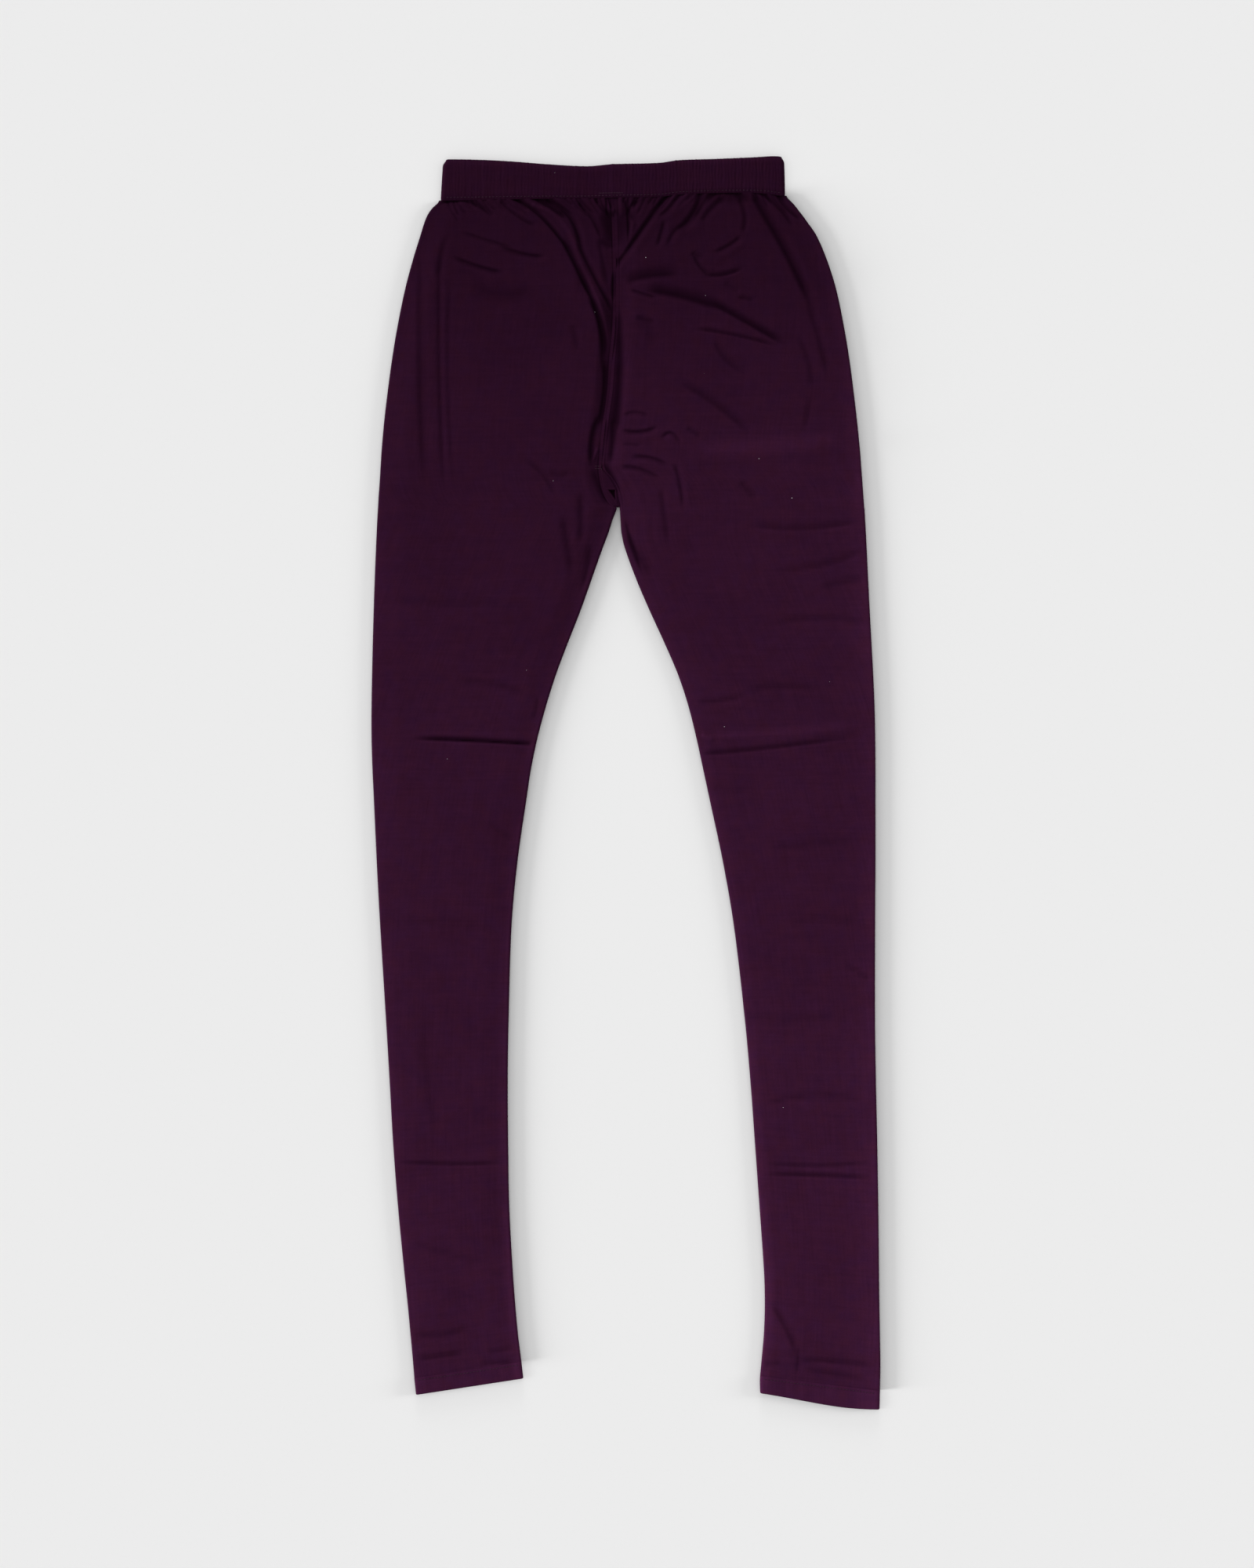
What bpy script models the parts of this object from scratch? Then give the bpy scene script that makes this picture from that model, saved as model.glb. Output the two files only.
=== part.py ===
"""Churidar pants in stretch cotton knit, laid flat and seen from above.

X runs across the garment, Y along it with the waist at +Y, and Z is up. The back layer's
underside lies on Z = 0, and the origin is on it, below the middle of the outline.
Each leg is one cut piece that wraps round its outer fold, so there is no side seam. The legs
meet along the centre seam above the crotch, where a small gusset joins them. A gathered casing
holds the waist, and a turned-up band ends each ankle.
"""

from collections import namedtuple
from math import atan2, cos, hypot, pi, sin

import bmesh
import bpy
from mathutils import Vector

# The driving dimension, in metres. Everything below is drawn in millimetres for this length.
GARMENT_LENGTH = 1.100
DRAWN_LENGTH = 1100.0
UNIT = GARMENT_LENGTH / DRAWN_LENGTH

# Cloth, in millimetres.
CLOTH_WALL = 1.2
CASING_WALL = 2.5
HEM_WALL = 1.9
SEAM_GAP = 0.3
GUSSET_GAP = 0.4
LEAST_HEIGHT = 3.5

# The centre seam lies in a valley, which is deepest at the crotch.
SEAM_TOP_HEIGHT = 5.4
SEAM_LOW_HEIGHT = 4.3
SEAM_SINKS_FROM = 60.0
SEAM_SINKS_TO = 280.0

# The folded outer edges and the rolled inseams of the legs.
FOLD_HEIGHT = 3.8
FOLD_RISE = 24.0
SEAM_RISE_LEFT = 9.0
SEAM_RISE_RIGHT = 6.0
FOLD_QUIET = 6.0
SEAM_QUIET = 4.0
CURL_RADIUS = (FOLD_HEIGHT - SEAM_GAP) / 2
CURL_LENGTH = CURL_RADIUS * pi / 2
CURL_STARTS = 299.0
CURL_ENDS = 318.0

# How each piece is divided into faces.
CURL_STEPS = 2
FRONT_STEPS = 24
FOLD_STEPS = 4
BACK_STEPS = 3
FRONT_CROWDING = 1.35
GUSSET_STEPS = 4
HEM_LAYER_STEPS = 8
CASING_BACK_STEPS = 12

# The waistband. Its gathers are uneven: two waves draw them closer or farther apart, and a
# third makes some of them lower.
Wave = namedtuple("Wave", "size rate start")
GATHERS = 48
GATHER_STEPS = 4
GATHER_HEIGHT = 0.55
GATHER_WANDER = [Wave(0.40, 0.9, 0.0), Wave(0.12, 2.3, 1.0)]
GATHER_SWELL = Wave(0.25, 1.7, 0.0)
CASING_HOLLOW = 1.5

# Heights of the gusset and the hems over the floor.
GUSSET_TOP_DOWN = 275.5
GUSSET_FOLD_DOWN = 306.5
HEM_HEIGHT = 5.0

# Where the ankles begin to slant, as distances below the highest point of the waist.
SLANT_STARTS = 700.0
SLANT_ENDS = 1072.0

# Sections across the garment: how far down each lies, where the edges of the picture's left
# and right leg are, measured from the centre line, and how high the front layer stands.
Section = namedtuple("Section", "down left_outer left_inner right_inner right_outer height")
SECTIONS = [
    Section(33.0, -163.4, -10.6, -10.6, 140.4, 5.6),
    Section(37.0, -165.4, -10.5, -10.5, 142.6, 5.8),
    Section(41.5, -169.8, -10.4, -10.4, 147.2, 6.0),
    Section(47.0, -173.4, -10.2, -10.2, 152.0, 6.3),
    Section(54.0, -176.3, -10.0, -10.0, 157.8, 6.5),
    Section(67.5, -180.5, -9.5, -9.5, 167.3, 6.8),
    Section(88.5, -187.0, -8.8, -8.8, 176.5, 7.1),
    Section(116.0, -194.3, -8.5, -8.5, 185.2, 7.2),
    Section(150.5, -201.3, -9.5, -9.5, 192.3, 7.2),
    Section(178.0, -205.8, -12.2, -12.2, 196.8, 7.2),
    Section(205.5, -209.5, -14.2, -14.2, 200.4, 7.1),
    Section(232.0, -212.6, -17.8, -17.8, 203.5, 7.0),
    Section(257.0, -214.8, -20.4, -20.4, 206.0, 6.9),
    Section(273.0, -215.8, -21.5, -21.0, 207.2, 6.7),
    Section(281.0, -216.3, -20.8, -14.6, 207.8, 6.6),
    Section(289.0, -216.8, -19.3, -9.8, 208.4, 6.5),
    Section(297.0, -217.4, -16.5, -7.0, 209.0, 6.4),
    Section(305.0, -217.9, -11.8, -5.7, 209.6, 6.3),
    Section(311.0, -218.2, -8.9, -5.1, 210.1, 6.2),
    Section(318.0, -218.6, -11.6, -4.7, 210.5, 6.1),
    Section(330.0, -219.2, -15.4, -3.8, 211.2, 6.0),
    Section(343.5, -219.8, -20.5, -0.7, 211.9, 5.9),
    Section(371.0, -220.9, -30.2, 9.4, 213.2, 5.8),
    Section(398.5, -221.8, -40.0, 21.2, 214.6, 5.7),
    Section(426.0, -222.6, -50.8, 33.8, 216.1, 5.6),
    Section(454.0, -223.2, -61.3, 45.8, 217.6, 5.5),
    Section(481.5, -223.7, -70.0, 54.9, 218.8, 5.5),
    Section(509.0, -223.7, -77.4, 61.8, 219.4, 5.4),
    Section(536.5, -222.9, -83.2, 67.8, 219.6, 5.3),
    Section(564.0, -221.6, -87.4, 73.7, 219.6, 5.3),
    Section(619.0, -219.1, -95.3, 85.4, 219.6, 5.2),
    Section(674.5, -216.1, -100.4, 94.9, 219.3, 5.2),
    Section(757.0, -211.0, -103.0, 104.6, 219.2, 5.1),
    Section(812.5, -207.7, -103.8, 109.6, 220.0, 5.1),
    Section(867.5, -204.6, -103.4, 113.6, 221.2, 5.0),
    Section(923.0, -200.3, -102.4, 117.6, 222.1, 5.0),
    Section(978.0, -195.0, -99.4, 121.4, 222.7, 4.9),
    Section(1005.5, -192.1, -97.4, 122.2, 223.0, 4.9),
    Section(1033.0, -189.5, -94.9, 121.4, 223.5, 4.8),
    Section(1060.5, -187.0, -91.5, 119.0, 223.9, 4.8),
    Section(1075.0, -185.8, -89.8, 117.8, 223.7, 4.8),
    Section(1100.0, -183.0, -87.5, 118.9, 223.1, 4.8),
]

# The waistband's top edge and the seam below it, from the picture's left to its right.
Band = namedtuple("Band", "across top seam")
BAND = [
    Band(-162.0, 3.4, 37.6),
    Band(-155.0, 2.8, 37.5),
    Band(-123.0, 3.4, 37.0),
    Band(-95.5, 4.9, 36.3),
    Band(-68.0, 7.0, 36.0),
    Band(-34.0, 8.6, 35.8),
    Band(-12.0, 6.9, 35.2),
    Band(29.0, 5.7, 34.4),
    Band(46.5, 3.4, 32.3),
    Band(83.0, 2.1, 30.9),
    Band(113.5, 0.8, 30.9),
    Band(128.0, 0.0, 32.1),
    Band(135.0, 0.2, 33.1),
    Band(141.0, 0.8, 33.4),
]

# The band's outline: how far up each ring lies, its two ends, its height, and how much of the
# gathers' height it carries. The top edge is the casing's own fold, so it is thinner.
Ring = namedtuple("Ring", "up left right height gather")
RINGS = [
    Ring(0.00, -162.6, 139.8, 6.0, 0.6),
    Ring(0.09, -162.6, 139.9, 6.5, 1.0),
    Ring(0.50, -161.8, 139.7, 6.7, 0.8),
    Ring(0.91, -160.6, 139.0, 6.5, 1.0),
    Ring(1.00, -158.4, 137.2, 5.8, 0.7),
]

# Folds in the front layer, each a soft trough (height below zero) or ridge along a curve from
# one point past a bend to another. Width is from its middle to where it dies away.
Fold = namedtuple("Fold", "from_x from_down bend_x bend_down to_x to_down width height")
FOLDS = [
    # Left of the centre seam, from the band down into the valley.
    Fold(-98, 35, -43, 63, -16, 178, 9, -3.2),
    Fold(-76, 40, -36, 74, -13, 160, 7, 1.2),
    Fold(-82, 35, -44, 68, -9, 134, 8, -2.8),
    Fold(-70, 42, -62, 44, -54, 56, 7, -1.8),
    Fold(-14, 48, -15, 62, -11, 84, 15, -2.0),
    Fold(-34, 123, -13, 180, -25, 240, 8, -2.8),
    Fold(-109, 37, -102, 50, -78, 62, 6, -1.3),
    Fold(-164, 41, -128, 38, -113, 56, 6, -1.4),
    Fold(-153, 86, -130, 97, -104, 101, 6, -1.4),
    Fold(-104, 76, -90, 86, -71, 85, 6, -1.2),
    Fold(-165, 75, -172, 180, -160, 300, 10, -0.8),
    # Right of the centre seam.
    Fold(12, 36, 2, 50, 13, 66, 6, -1.6),
    Fold(37, 33, 14, 62, -8, 101, 7, -2.5),
    Fold(-7, 100, -1, 160, -10, 232, 5, -2.0),
    Fold(69, 33, 56, 44, 45, 64, 7, -1.6),
    Fold(73, 41, 90, 34, 104, 37, 6, -1.4),
    Fold(112, 36, 138, 84, 166, 134, 9, -1.9),
    Fold(130, 33, 158, 46, 179, 84, 7, -1.5),
    Fold(102, 68, 92, 82, 77, 84, 6, -1.1),
    Fold(70, 104, 84, 107, 99, 100, 6, -1.1),
    Fold(4, 108, 26, 96, 42, 102, 9, -1.6),
    Fold(10, 121, 76, 116, 138, 162, 10, -2.3),
    Fold(61, 151, 94, 154, 126, 166, 8, -1.0),
    # Around the crotch and down the legs, with the creases pressed in when it was packed.
    Fold(-2, 232, 16, 234, 36, 229, 6, -0.9),
    Fold(-2, 329, 16, 340, 25, 372, 7, -0.9),
    Fold(-54, 318, -46, 338, -40, 372, 8, -0.8),
    Fold(54, 258, 130, 252, 203, 247, 10, 0.6),
    Fold(-180, 514, -128, 515, -79, 516, 8, -1.1),
    Fold(66, 525, 120, 519, 216, 509, 8, -0.9),
    Fold(64, 513, 120, 505, 216, 497, 9, 0.6),
    Fold(-205, 884, -154, 885, -104, 884, 12, -0.7),
    Fold(117, 884, 168, 884, 220, 885, 12, -0.7),
]
FOLD_SAMPLES = 24

# A fold dies away over this share of its length at each end, but one that starts within the
# band's reach is full there. The rows of a leg's points follow the band's seam down to a limit.
FOLD_FADE = 0.3
BAND_REACH = 46.0
BAND_FOLLOW_ENDS = 60.0

# Rows of faces down a leg: where each stretch ends, and how many rows it has.
Stretch = namedtuple("Stretch", "ends rows")
LEG_TOP = 35.0
STRETCHES = [
    Stretch(107.0, 11),
    Stretch(257.0, 13),
    Stretch(273.0, 1),
    Stretch(305.0, 4),
    Stretch(311.0, 1),
    Stretch(318.0, 1),
    Stretch(330.0, 1),
    Stretch(500.0, 6),
    Stretch(530.0, 3),
    Stretch(870.0, 6),
    Stretch(900.0, 2),
    Stretch(1072.0, 3),
]

# Each leg's table columns, and its ankle: where the hem's stitch line and its lower edge meet
# the outer fold and the inseam.
Leg = namedtuple("Leg", "outer inner seam_rise line_outer line_inner end_outer end_inner")
RIGHT_LEG = Leg("left_outer", "left_inner", SEAM_RISE_LEFT, 1072.4, 1058.0, 1087.2, 1072.7)
LEFT_LEG = Leg("right_outer", "right_inner", SEAM_RISE_RIGHT, 1083.6, 1070.4, 1100.0, 1085.7)

# Linear colours of the deep aubergine dye.
CLOTH_COLOUR = (0.036, 0.008, 0.027)
CASING_COLOUR = (0.030, 0.007, 0.023)
CLOTH_ROUGHNESS = 0.85


def smooth_step(value):
    """Nought below 0, one above 1, and a soft rise between."""
    t = min(max(value, 0.0), 1.0)
    return t * t * (3.0 - 2.0 * t)


def slope_at(knots, index):
    """The slope of a smooth curve at one knot, from its neighbours."""
    low = max(index - 1, 0)
    high = min(index + 1, len(knots) - 1)
    return (knots[high][1] - knots[low][1]) / (knots[high][0] - knots[low][0])


def curve_value(table, column, place):
    """A named column's value at a place along the table's first column."""
    knots = [(row[0], getattr(row, column)) for row in table]
    if place <= knots[0][0]:
        return knots[0][1]
    if place >= knots[-1][0]:
        return knots[-1][1]
    index = max(i for i, knot in enumerate(knots) if knot[0] <= place)
    start, end = knots[index], knots[index + 1]
    step = end[0] - start[0]
    t = (place - start[0]) / step
    leave = slope_at(knots, index) * step
    arrive = slope_at(knots, index + 1) * step
    return (
        start[1] * (2 * t**3 - 3 * t**2 + 1)
        + leave * (t**3 - 2 * t**2 + t)
        + end[1] * (3 * t**2 - 2 * t**3)
        + arrive * (t**3 - t**2)
    )


def mix(first, second, share):
    """A value part of the way from the first to the second."""
    return first + (second - first) * share


def fold_curve(fold):
    """Points along a fold's middle, each with its share of the fold's height."""
    points = []
    for index in range(FOLD_SAMPLES + 1):
        t = index / FOLD_SAMPLES
        x = (1 - t) ** 2 * fold.from_x + 2 * t * (1 - t) * fold.bend_x + t**2 * fold.to_x
        down = (1 - t) ** 2 * fold.from_down + 2 * t * (1 - t) * fold.bend_down + t**2 * fold.to_down
        share = smooth_step((1 - t) / FOLD_FADE)
        if fold.from_down > BAND_REACH:
            share *= smooth_step(t / FOLD_FADE)
        points.append((x, down, share))
    return points


FOLD_CURVES = [(fold, fold_curve(fold)) for fold in FOLDS]


def fold_height(x, down):
    """How far the folds lift or sink the front layer at a point."""
    height = 0.0
    for fold, points in FOLD_CURVES:
        distance, share = min((hypot(x - point[0], down - point[1]), point[2]) for point in points)
        if distance < fold.width:
            height += fold.height * share * (1 + cos(pi * distance / fold.width)) / 2
    return height


def seam_down(x, height):
    """How far down the band's seam lies: as the table says in front, and straight behind."""
    if height > FOLD_HEIGHT / 2:
        return curve_value(BAND, "seam", x)
    first, last = BAND[0], BAND[-1]
    return mix(first.seam, last.seam, (x - first.across) / (last.across - first.across))


def row_places():
    """How far down each row of a leg's points lies."""
    places = [LEG_TOP]
    for stretch in STRETCHES:
        start = places[-1]
        for index in range(stretch.rows):
            places.append(mix(start, stretch.ends, (index + 1) / stretch.rows))
    return places


ROWS = row_places()


def leg_ends(leg, down):
    """A row's inner and outer end, as (x, down): level at first, then slanted to the ankle."""
    slant = smooth_step((down - SLANT_STARTS) / (SLANT_ENDS - SLANT_STARTS))
    inner_down = down + slant * (leg.line_inner - SLANT_ENDS)
    outer_down = down + slant * (leg.line_outer - SLANT_ENDS)
    inner = (curve_value(SECTIONS, leg.inner, inner_down), inner_down)
    outer = (curve_value(SECTIONS, leg.outer, outer_down), outer_down)
    side = 1 if outer[0] > inner[0] else -1
    return (inner[0] + side * SEAM_GAP / 2, inner[1]), outer


def seam_height(down):
    """How high the front layer's edge stands along the centre seam and the gusset."""
    sunk = smooth_step((down - SEAM_SINKS_FROM) / (SEAM_SINKS_TO - SEAM_SINKS_FROM))
    return mix(SEAM_TOP_HEIGHT, SEAM_LOW_HEIGHT, sunk)


def front_height(leg, down, x, from_seam, from_fold):
    """How high the front layer's outer face stands over the floor at a point."""
    full = curve_value(SECTIONS, "height", down)
    above_crotch = smooth_step((CURL_ENDS - down) / (CURL_ENDS - CURL_STARTS))
    inner = mix(FOLD_HEIGHT, seam_height(down), above_crotch)
    rise = mix(FOLD_RISE, leg.seam_rise, above_crotch)
    height = full
    height -= (full - FOLD_HEIGHT) * (1 - smooth_step(from_fold / FOLD_RISE))
    height -= (full - inner) * (1 - smooth_step(from_seam / rise))
    quiet = smooth_step(from_seam / SEAM_QUIET) * smooth_step(from_fold / FOLD_QUIET)
    height += fold_height(x, down) * quiet
    return max(height, LEAST_HEIGHT)


def leg_section(leg, row):
    """One row of a leg's outer surface, from the front's edge round the fold to the back's.

    The first row takes the second's heights, so that the cloth meets the band's seam level.
    """
    down = ROWS[row]
    inner, outer = leg_ends(leg, down)
    width = hypot(outer[0] - inner[0], outer[1] - inner[1])
    curl = max(smooth_step((down - CURL_STARTS) / (CURL_ENDS - CURL_STARTS)) * pi / 2, 0.001)
    reach = CURL_LENGTH * sin(curl) / curl
    fold_radius = FOLD_HEIGHT / 2
    shape = []

    def place(distance):
        share = distance / width
        return mix(inner[0], outer[0], share), mix(inner[1], outer[1], share)

    def curl_point(step):
        turned = curl * (1 - step / CURL_STEPS)
        distance = reach - CURL_LENGTH * sin(turned) / curl
        drop = CURL_LENGTH * (1 - cos(turned)) / curl
        return distance, drop

    junction = place(reach)
    edge_height = front_height(leg, junction[1], junction[0], 0.0, width)
    for step in range(CURL_STEPS):
        distance, drop = curl_point(step)
        shape.append((distance, edge_height - drop))
    for step in range(FRONT_STEPS + 1):
        share = (step / FRONT_STEPS) ** FRONT_CROWDING
        distance = mix(reach, width - fold_radius, share)
        x, point_down = place(distance)
        level_down = max(point_down, ROWS[1])
        height = front_height(leg, level_down, x, distance - reach, width - fold_radius - distance)
        shape.append((distance, height))
    for step in range(1, FOLD_STEPS):
        angle = pi / 2 - pi * step / FOLD_STEPS
        shape.append((width - fold_radius + fold_radius * cos(angle), fold_radius * (1 + sin(angle))))
    for step in range(BACK_STEPS + 1):
        shape.append((mix(width - fold_radius, reach, step / BACK_STEPS), 0.0))
    for step in reversed(range(CURL_STEPS)):
        distance, rise = curl_point(step)
        shape.append((distance, rise))

    # The first rows follow the band's wavy seam, and lower ones forget it.
    follow = smooth_step((BAND_FOLLOW_ENDS - down) / (BAND_FOLLOW_ENDS - LEG_TOP))
    points = []
    for distance, height in shape:
        x, point_down = place(distance)
        point_down += (seam_down(x, height) + SEAM_GAP - LEG_TOP) * follow
        points.append((x, point_down, height))
    return points


def world(x, down, height):
    """A drawn point in metres, in the garment's own frame."""
    return Vector((x * UNIT, (DRAWN_LENGTH / 2 - down) * UNIT, height * UNIT))


def cloth_material(name, colour):
    """A plain dyed cloth."""
    material = bpy.data.materials.new(name)
    material.use_nodes = True
    shader = material.node_tree.nodes["Principled BSDF"]
    shader.inputs["Base Color"].default_value = (*colour, 1.0)
    shader.inputs["Roughness"].default_value = CLOTH_ROUGHNESS
    shader.inputs["Metallic"].default_value = 0.0
    material.diffuse_color = (*colour, 1.0)
    return material


def finish_piece(name, surface, colour, collection):
    """Turns a shaped surface into a named object with its own material."""
    mesh = bpy.data.meshes.new(name)
    surface.to_mesh(mesh)
    surface.free()
    mesh.shade_smooth()
    mesh.materials.append(cloth_material(name, colour))
    piece = bpy.data.objects.new(name, mesh)
    collection.objects.link(piece)
    return piece


def thicken(piece, wall):
    """Gives an open surface its cloth wall, inwards."""
    solid = piece.modifiers.new("wall", "SOLIDIFY")
    solid.thickness = wall * UNIT
    solid.offset = -1.0
    solid.use_rim = True


def face_upwards(surface):
    """Turns a sheet's faces so that its highest ones look up."""
    surface.normal_update()
    highest = max(surface.faces, key=lambda face: face.calc_center_median().z * abs(face.normal.z))
    if highest.normal.z < 0:
        bmesh.ops.reverse_faces(surface, faces=surface.faces)


def split_along_folds(surface):
    """Splits each square along its more level diagonal, which runs with the folds."""
    for face in list(surface.faces):
        first, second, third, fourth = face.verts
        if abs(first.co.z - third.co.z) <= abs(second.co.z - fourth.co.z):
            bmesh.utils.face_split(face, first, third)
        else:
            bmesh.utils.face_split(face, second, fourth)


def shaped_sheet(columns, rows, point_at):
    """A flat grid whose points are each moved to point_at(column, row)."""
    surface = bmesh.new()
    bmesh.ops.create_grid(surface, x_segments=columns, y_segments=rows, size=0.5)
    for point in surface.verts:
        column = round((point.co.x + 0.5) * columns)
        row = round((point.co.y + 0.5) * rows)
        point.co = world(*point_at(column, row))
    split_along_folds(surface)
    face_upwards(surface)
    return surface


def build_leg(name, leg, collection):
    """One leg: a single sheet wrapped round its outer fold."""
    sections = [leg_section(leg, row) for row in range(len(ROWS))]
    columns = len(sections[0]) - 1
    surface = shaped_sheet(columns, len(ROWS) - 1, lambda column, row: sections[row][column])
    piece = finish_piece(name, surface, CLOTH_COLOUR, collection)
    thicken(piece, CLOTH_WALL)
    return piece


def edge_between_rows(column, down):
    """A leg's inner edge where it runs straight between two rows of its points."""
    above = max(row for row in ROWS if row <= down)
    below = min(row for row in ROWS if row > down)
    start = curve_value(SECTIONS, column, above)
    end = curve_value(SECTIONS, column, below)
    return mix(start, end, (down - above) / (below - above))


def gusset_rows():
    """The gusset's path: down the front, round its fold at the crotch, and up the back."""
    between = [row for row in ROWS if GUSSET_TOP_DOWN < row < GUSSET_FOLD_DOWN]
    downs = [GUSSET_TOP_DOWN, *between, GUSSET_FOLD_DOWN]
    path = [(down, seam_height(down)) for down in downs]
    radius = path[-1][1] / 2
    for step in range(1, FOLD_STEPS):
        angle = pi / 2 - pi * step / FOLD_STEPS
        path.append((GUSSET_FOLD_DOWN + radius * cos(angle), radius * (1 + sin(angle))))
    path += [(down, 0.0) for down in reversed(downs)]
    return path


def build_gusset(collection):
    """The crotch gusset, folded in two under the crotch."""
    path = gusset_rows()

    def point_at(column, row):
        down, height = path[row]
        left = edge_between_rows("left_inner", down) + GUSSET_GAP
        right = edge_between_rows("right_inner", down) - GUSSET_GAP
        return mix(left, right, column / GUSSET_STEPS), down, height

    surface = shaped_sheet(GUSSET_STEPS, len(path) - 1, point_at)
    piece = finish_piece("crotch_gusset", surface, CLOTH_COLOUR, collection)
    thicken(piece, CLOTH_WALL)
    return piece


def build_hem(name, leg, collection):
    """One ankle's turned-up band: a flattened tube of two layers of cloth."""
    around = 2 * (HEM_LAYER_STEPS + FOLD_STEPS)
    radius = HEM_HEIGHT / 2
    gap = SEAM_GAP

    def ring_shape(index, width):
        """A point of the flattened tube, as (distance from the inseam, height)."""
        if index <= HEM_LAYER_STEPS:
            return mix(radius, width - radius, index / HEM_LAYER_STEPS), HEM_HEIGHT
        index -= HEM_LAYER_STEPS
        if index < FOLD_STEPS:
            angle = pi / 2 - pi * index / FOLD_STEPS
            return width - radius + radius * cos(angle), radius * (1 + sin(angle))
        index -= FOLD_STEPS
        if index <= HEM_LAYER_STEPS:
            return mix(width - radius, radius, index / HEM_LAYER_STEPS), 0.0
        index -= HEM_LAYER_STEPS
        angle = -pi / 2 - pi * index / FOLD_STEPS
        return radius + radius * cos(angle), radius * (1 + sin(angle))

    surface = bmesh.new()
    bmesh.ops.create_cone(surface, cap_ends=False, segments=around, radius1=1, radius2=1, depth=1)
    for point in surface.verts:
        turn = atan2(point.co.y, point.co.x) / (2 * pi)
        index = round(turn * around) % around
        if point.co.z > 0:
            outer_down, inner_down = leg.line_outer + gap, leg.line_inner + gap
        else:
            outer_down, inner_down = leg.end_outer, leg.end_inner
        inner_x = curve_value(SECTIONS, leg.inner, inner_down)
        outer_x = curve_value(SECTIONS, leg.outer, outer_down)
        distance, height = ring_shape(index, abs(outer_x - inner_x))
        share = distance / abs(outer_x - inner_x)
        point.co = world(mix(inner_x, outer_x, share), mix(inner_down, outer_down, share), height)
    face_upwards(surface)
    piece = finish_piece(name, surface, CLOTH_COLOUR, collection)
    thicken(piece, HEM_WALL)
    return piece


def wave_at(wave, turn):
    """A wave's value at a gather."""
    return wave.size * sin(turn * wave.rate + wave.start)


def casing_columns():
    """The band's way round, from its left end: shares of the upper face, arcs and back."""
    columns = []
    upper_steps = GATHERS * GATHER_STEPS
    for step in range(upper_steps):
        turn = step / GATHER_STEPS
        wander = sum(wave_at(wave, turn) for wave in GATHER_WANDER)
        share = (turn + wander * sin(pi * turn / GATHERS)) / GATHERS
        swell = 1 - GATHER_SWELL.size + wave_at(GATHER_SWELL, turn)
        columns.append(("upper", share, swell * (1 + cos(2 * pi * turn)) / 2))
    columns += [("right_fold", step / FOLD_STEPS, 0.0) for step in range(FOLD_STEPS)]
    columns += [("lower", step / CASING_BACK_STEPS, 0.0) for step in range(CASING_BACK_STEPS)]
    columns += [("left_fold", step / FOLD_STEPS, 0.0) for step in range(FOLD_STEPS)]
    return columns


def casing_point(column, ring, inside):
    """A point of the band's outer face, or of the plain inner face behind it."""
    stretch, share, gather = column
    floor = CASING_WALL if inside else 0.0
    height = CASING_WALL + CASING_HOLLOW if inside else ring.height
    radius = (height - floor) / 2
    left = ring.left + floor + radius
    right = ring.right - floor - radius
    middle = floor + radius
    if stretch == "upper":
        x = mix(left, right, share)
        z = height if inside else height + GATHER_HEIGHT * ring.gather * gather
    elif stretch == "right_fold":
        x = right + radius * sin(pi * share)
        z = middle + radius * cos(pi * share)
    elif stretch == "lower":
        x = mix(right, left, share)
        z = floor
    else:
        x = left - radius * sin(pi * share)
        z = middle - radius * cos(pi * share)
    down = mix(seam_down(x, z), curve_value(BAND, "top", x), ring.up)
    return x, down, z


def build_waistband(collection):
    """The gathered casing: a loft from a ribbed outer face over a plain inner one."""
    columns = casing_columns()
    surface = bmesh.new()
    rings = [(ring, False) for ring in RINGS] + [(RINGS[-1], True), (RINGS[0], True)]
    loops = []
    for ring, inside in rings:
        loops.append([surface.verts.new(world(*casing_point(column, ring, inside))) for column in columns])
    for index, loop in enumerate(loops):
        following = loops[(index + 1) % len(loops)]
        for side in range(len(columns)):
            beside = (side + 1) % len(columns)
            surface.faces.new((loop[side], loop[beside], following[beside], following[side]))
    bmesh.ops.recalc_face_normals(surface, faces=surface.faces)
    return finish_piece("waistband", surface, CASING_COLOUR, collection)


def build():
    """Clears the scene and makes the garment."""
    for item in list(bpy.data.objects):
        bpy.data.objects.remove(item, do_unlink=True)
    collection = bpy.data.collections.new("churidar_pants")
    bpy.context.scene.collection.children.link(collection)
    build_waistband(collection)
    build_leg("right_leg", RIGHT_LEG, collection)
    build_leg("left_leg", LEFT_LEG, collection)
    build_gusset(collection)
    build_hem("right_hem", RIGHT_LEG, collection)
    build_hem("left_hem", LEFT_LEG, collection)


build()
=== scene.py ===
# %% [markdown]
# # Churidar pants, laid flat
# These are leggings in a deep aubergine stretch knit, shown flat from above. The fixed frame
# holds a solid for each sewn piece.

# %% Load the fixed frame
from collections import namedtuple
from math import cos, pi, radians, sin

import bpy
import numpy as np
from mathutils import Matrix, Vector
from mathutils.bvhtree import BVHTree

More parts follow.
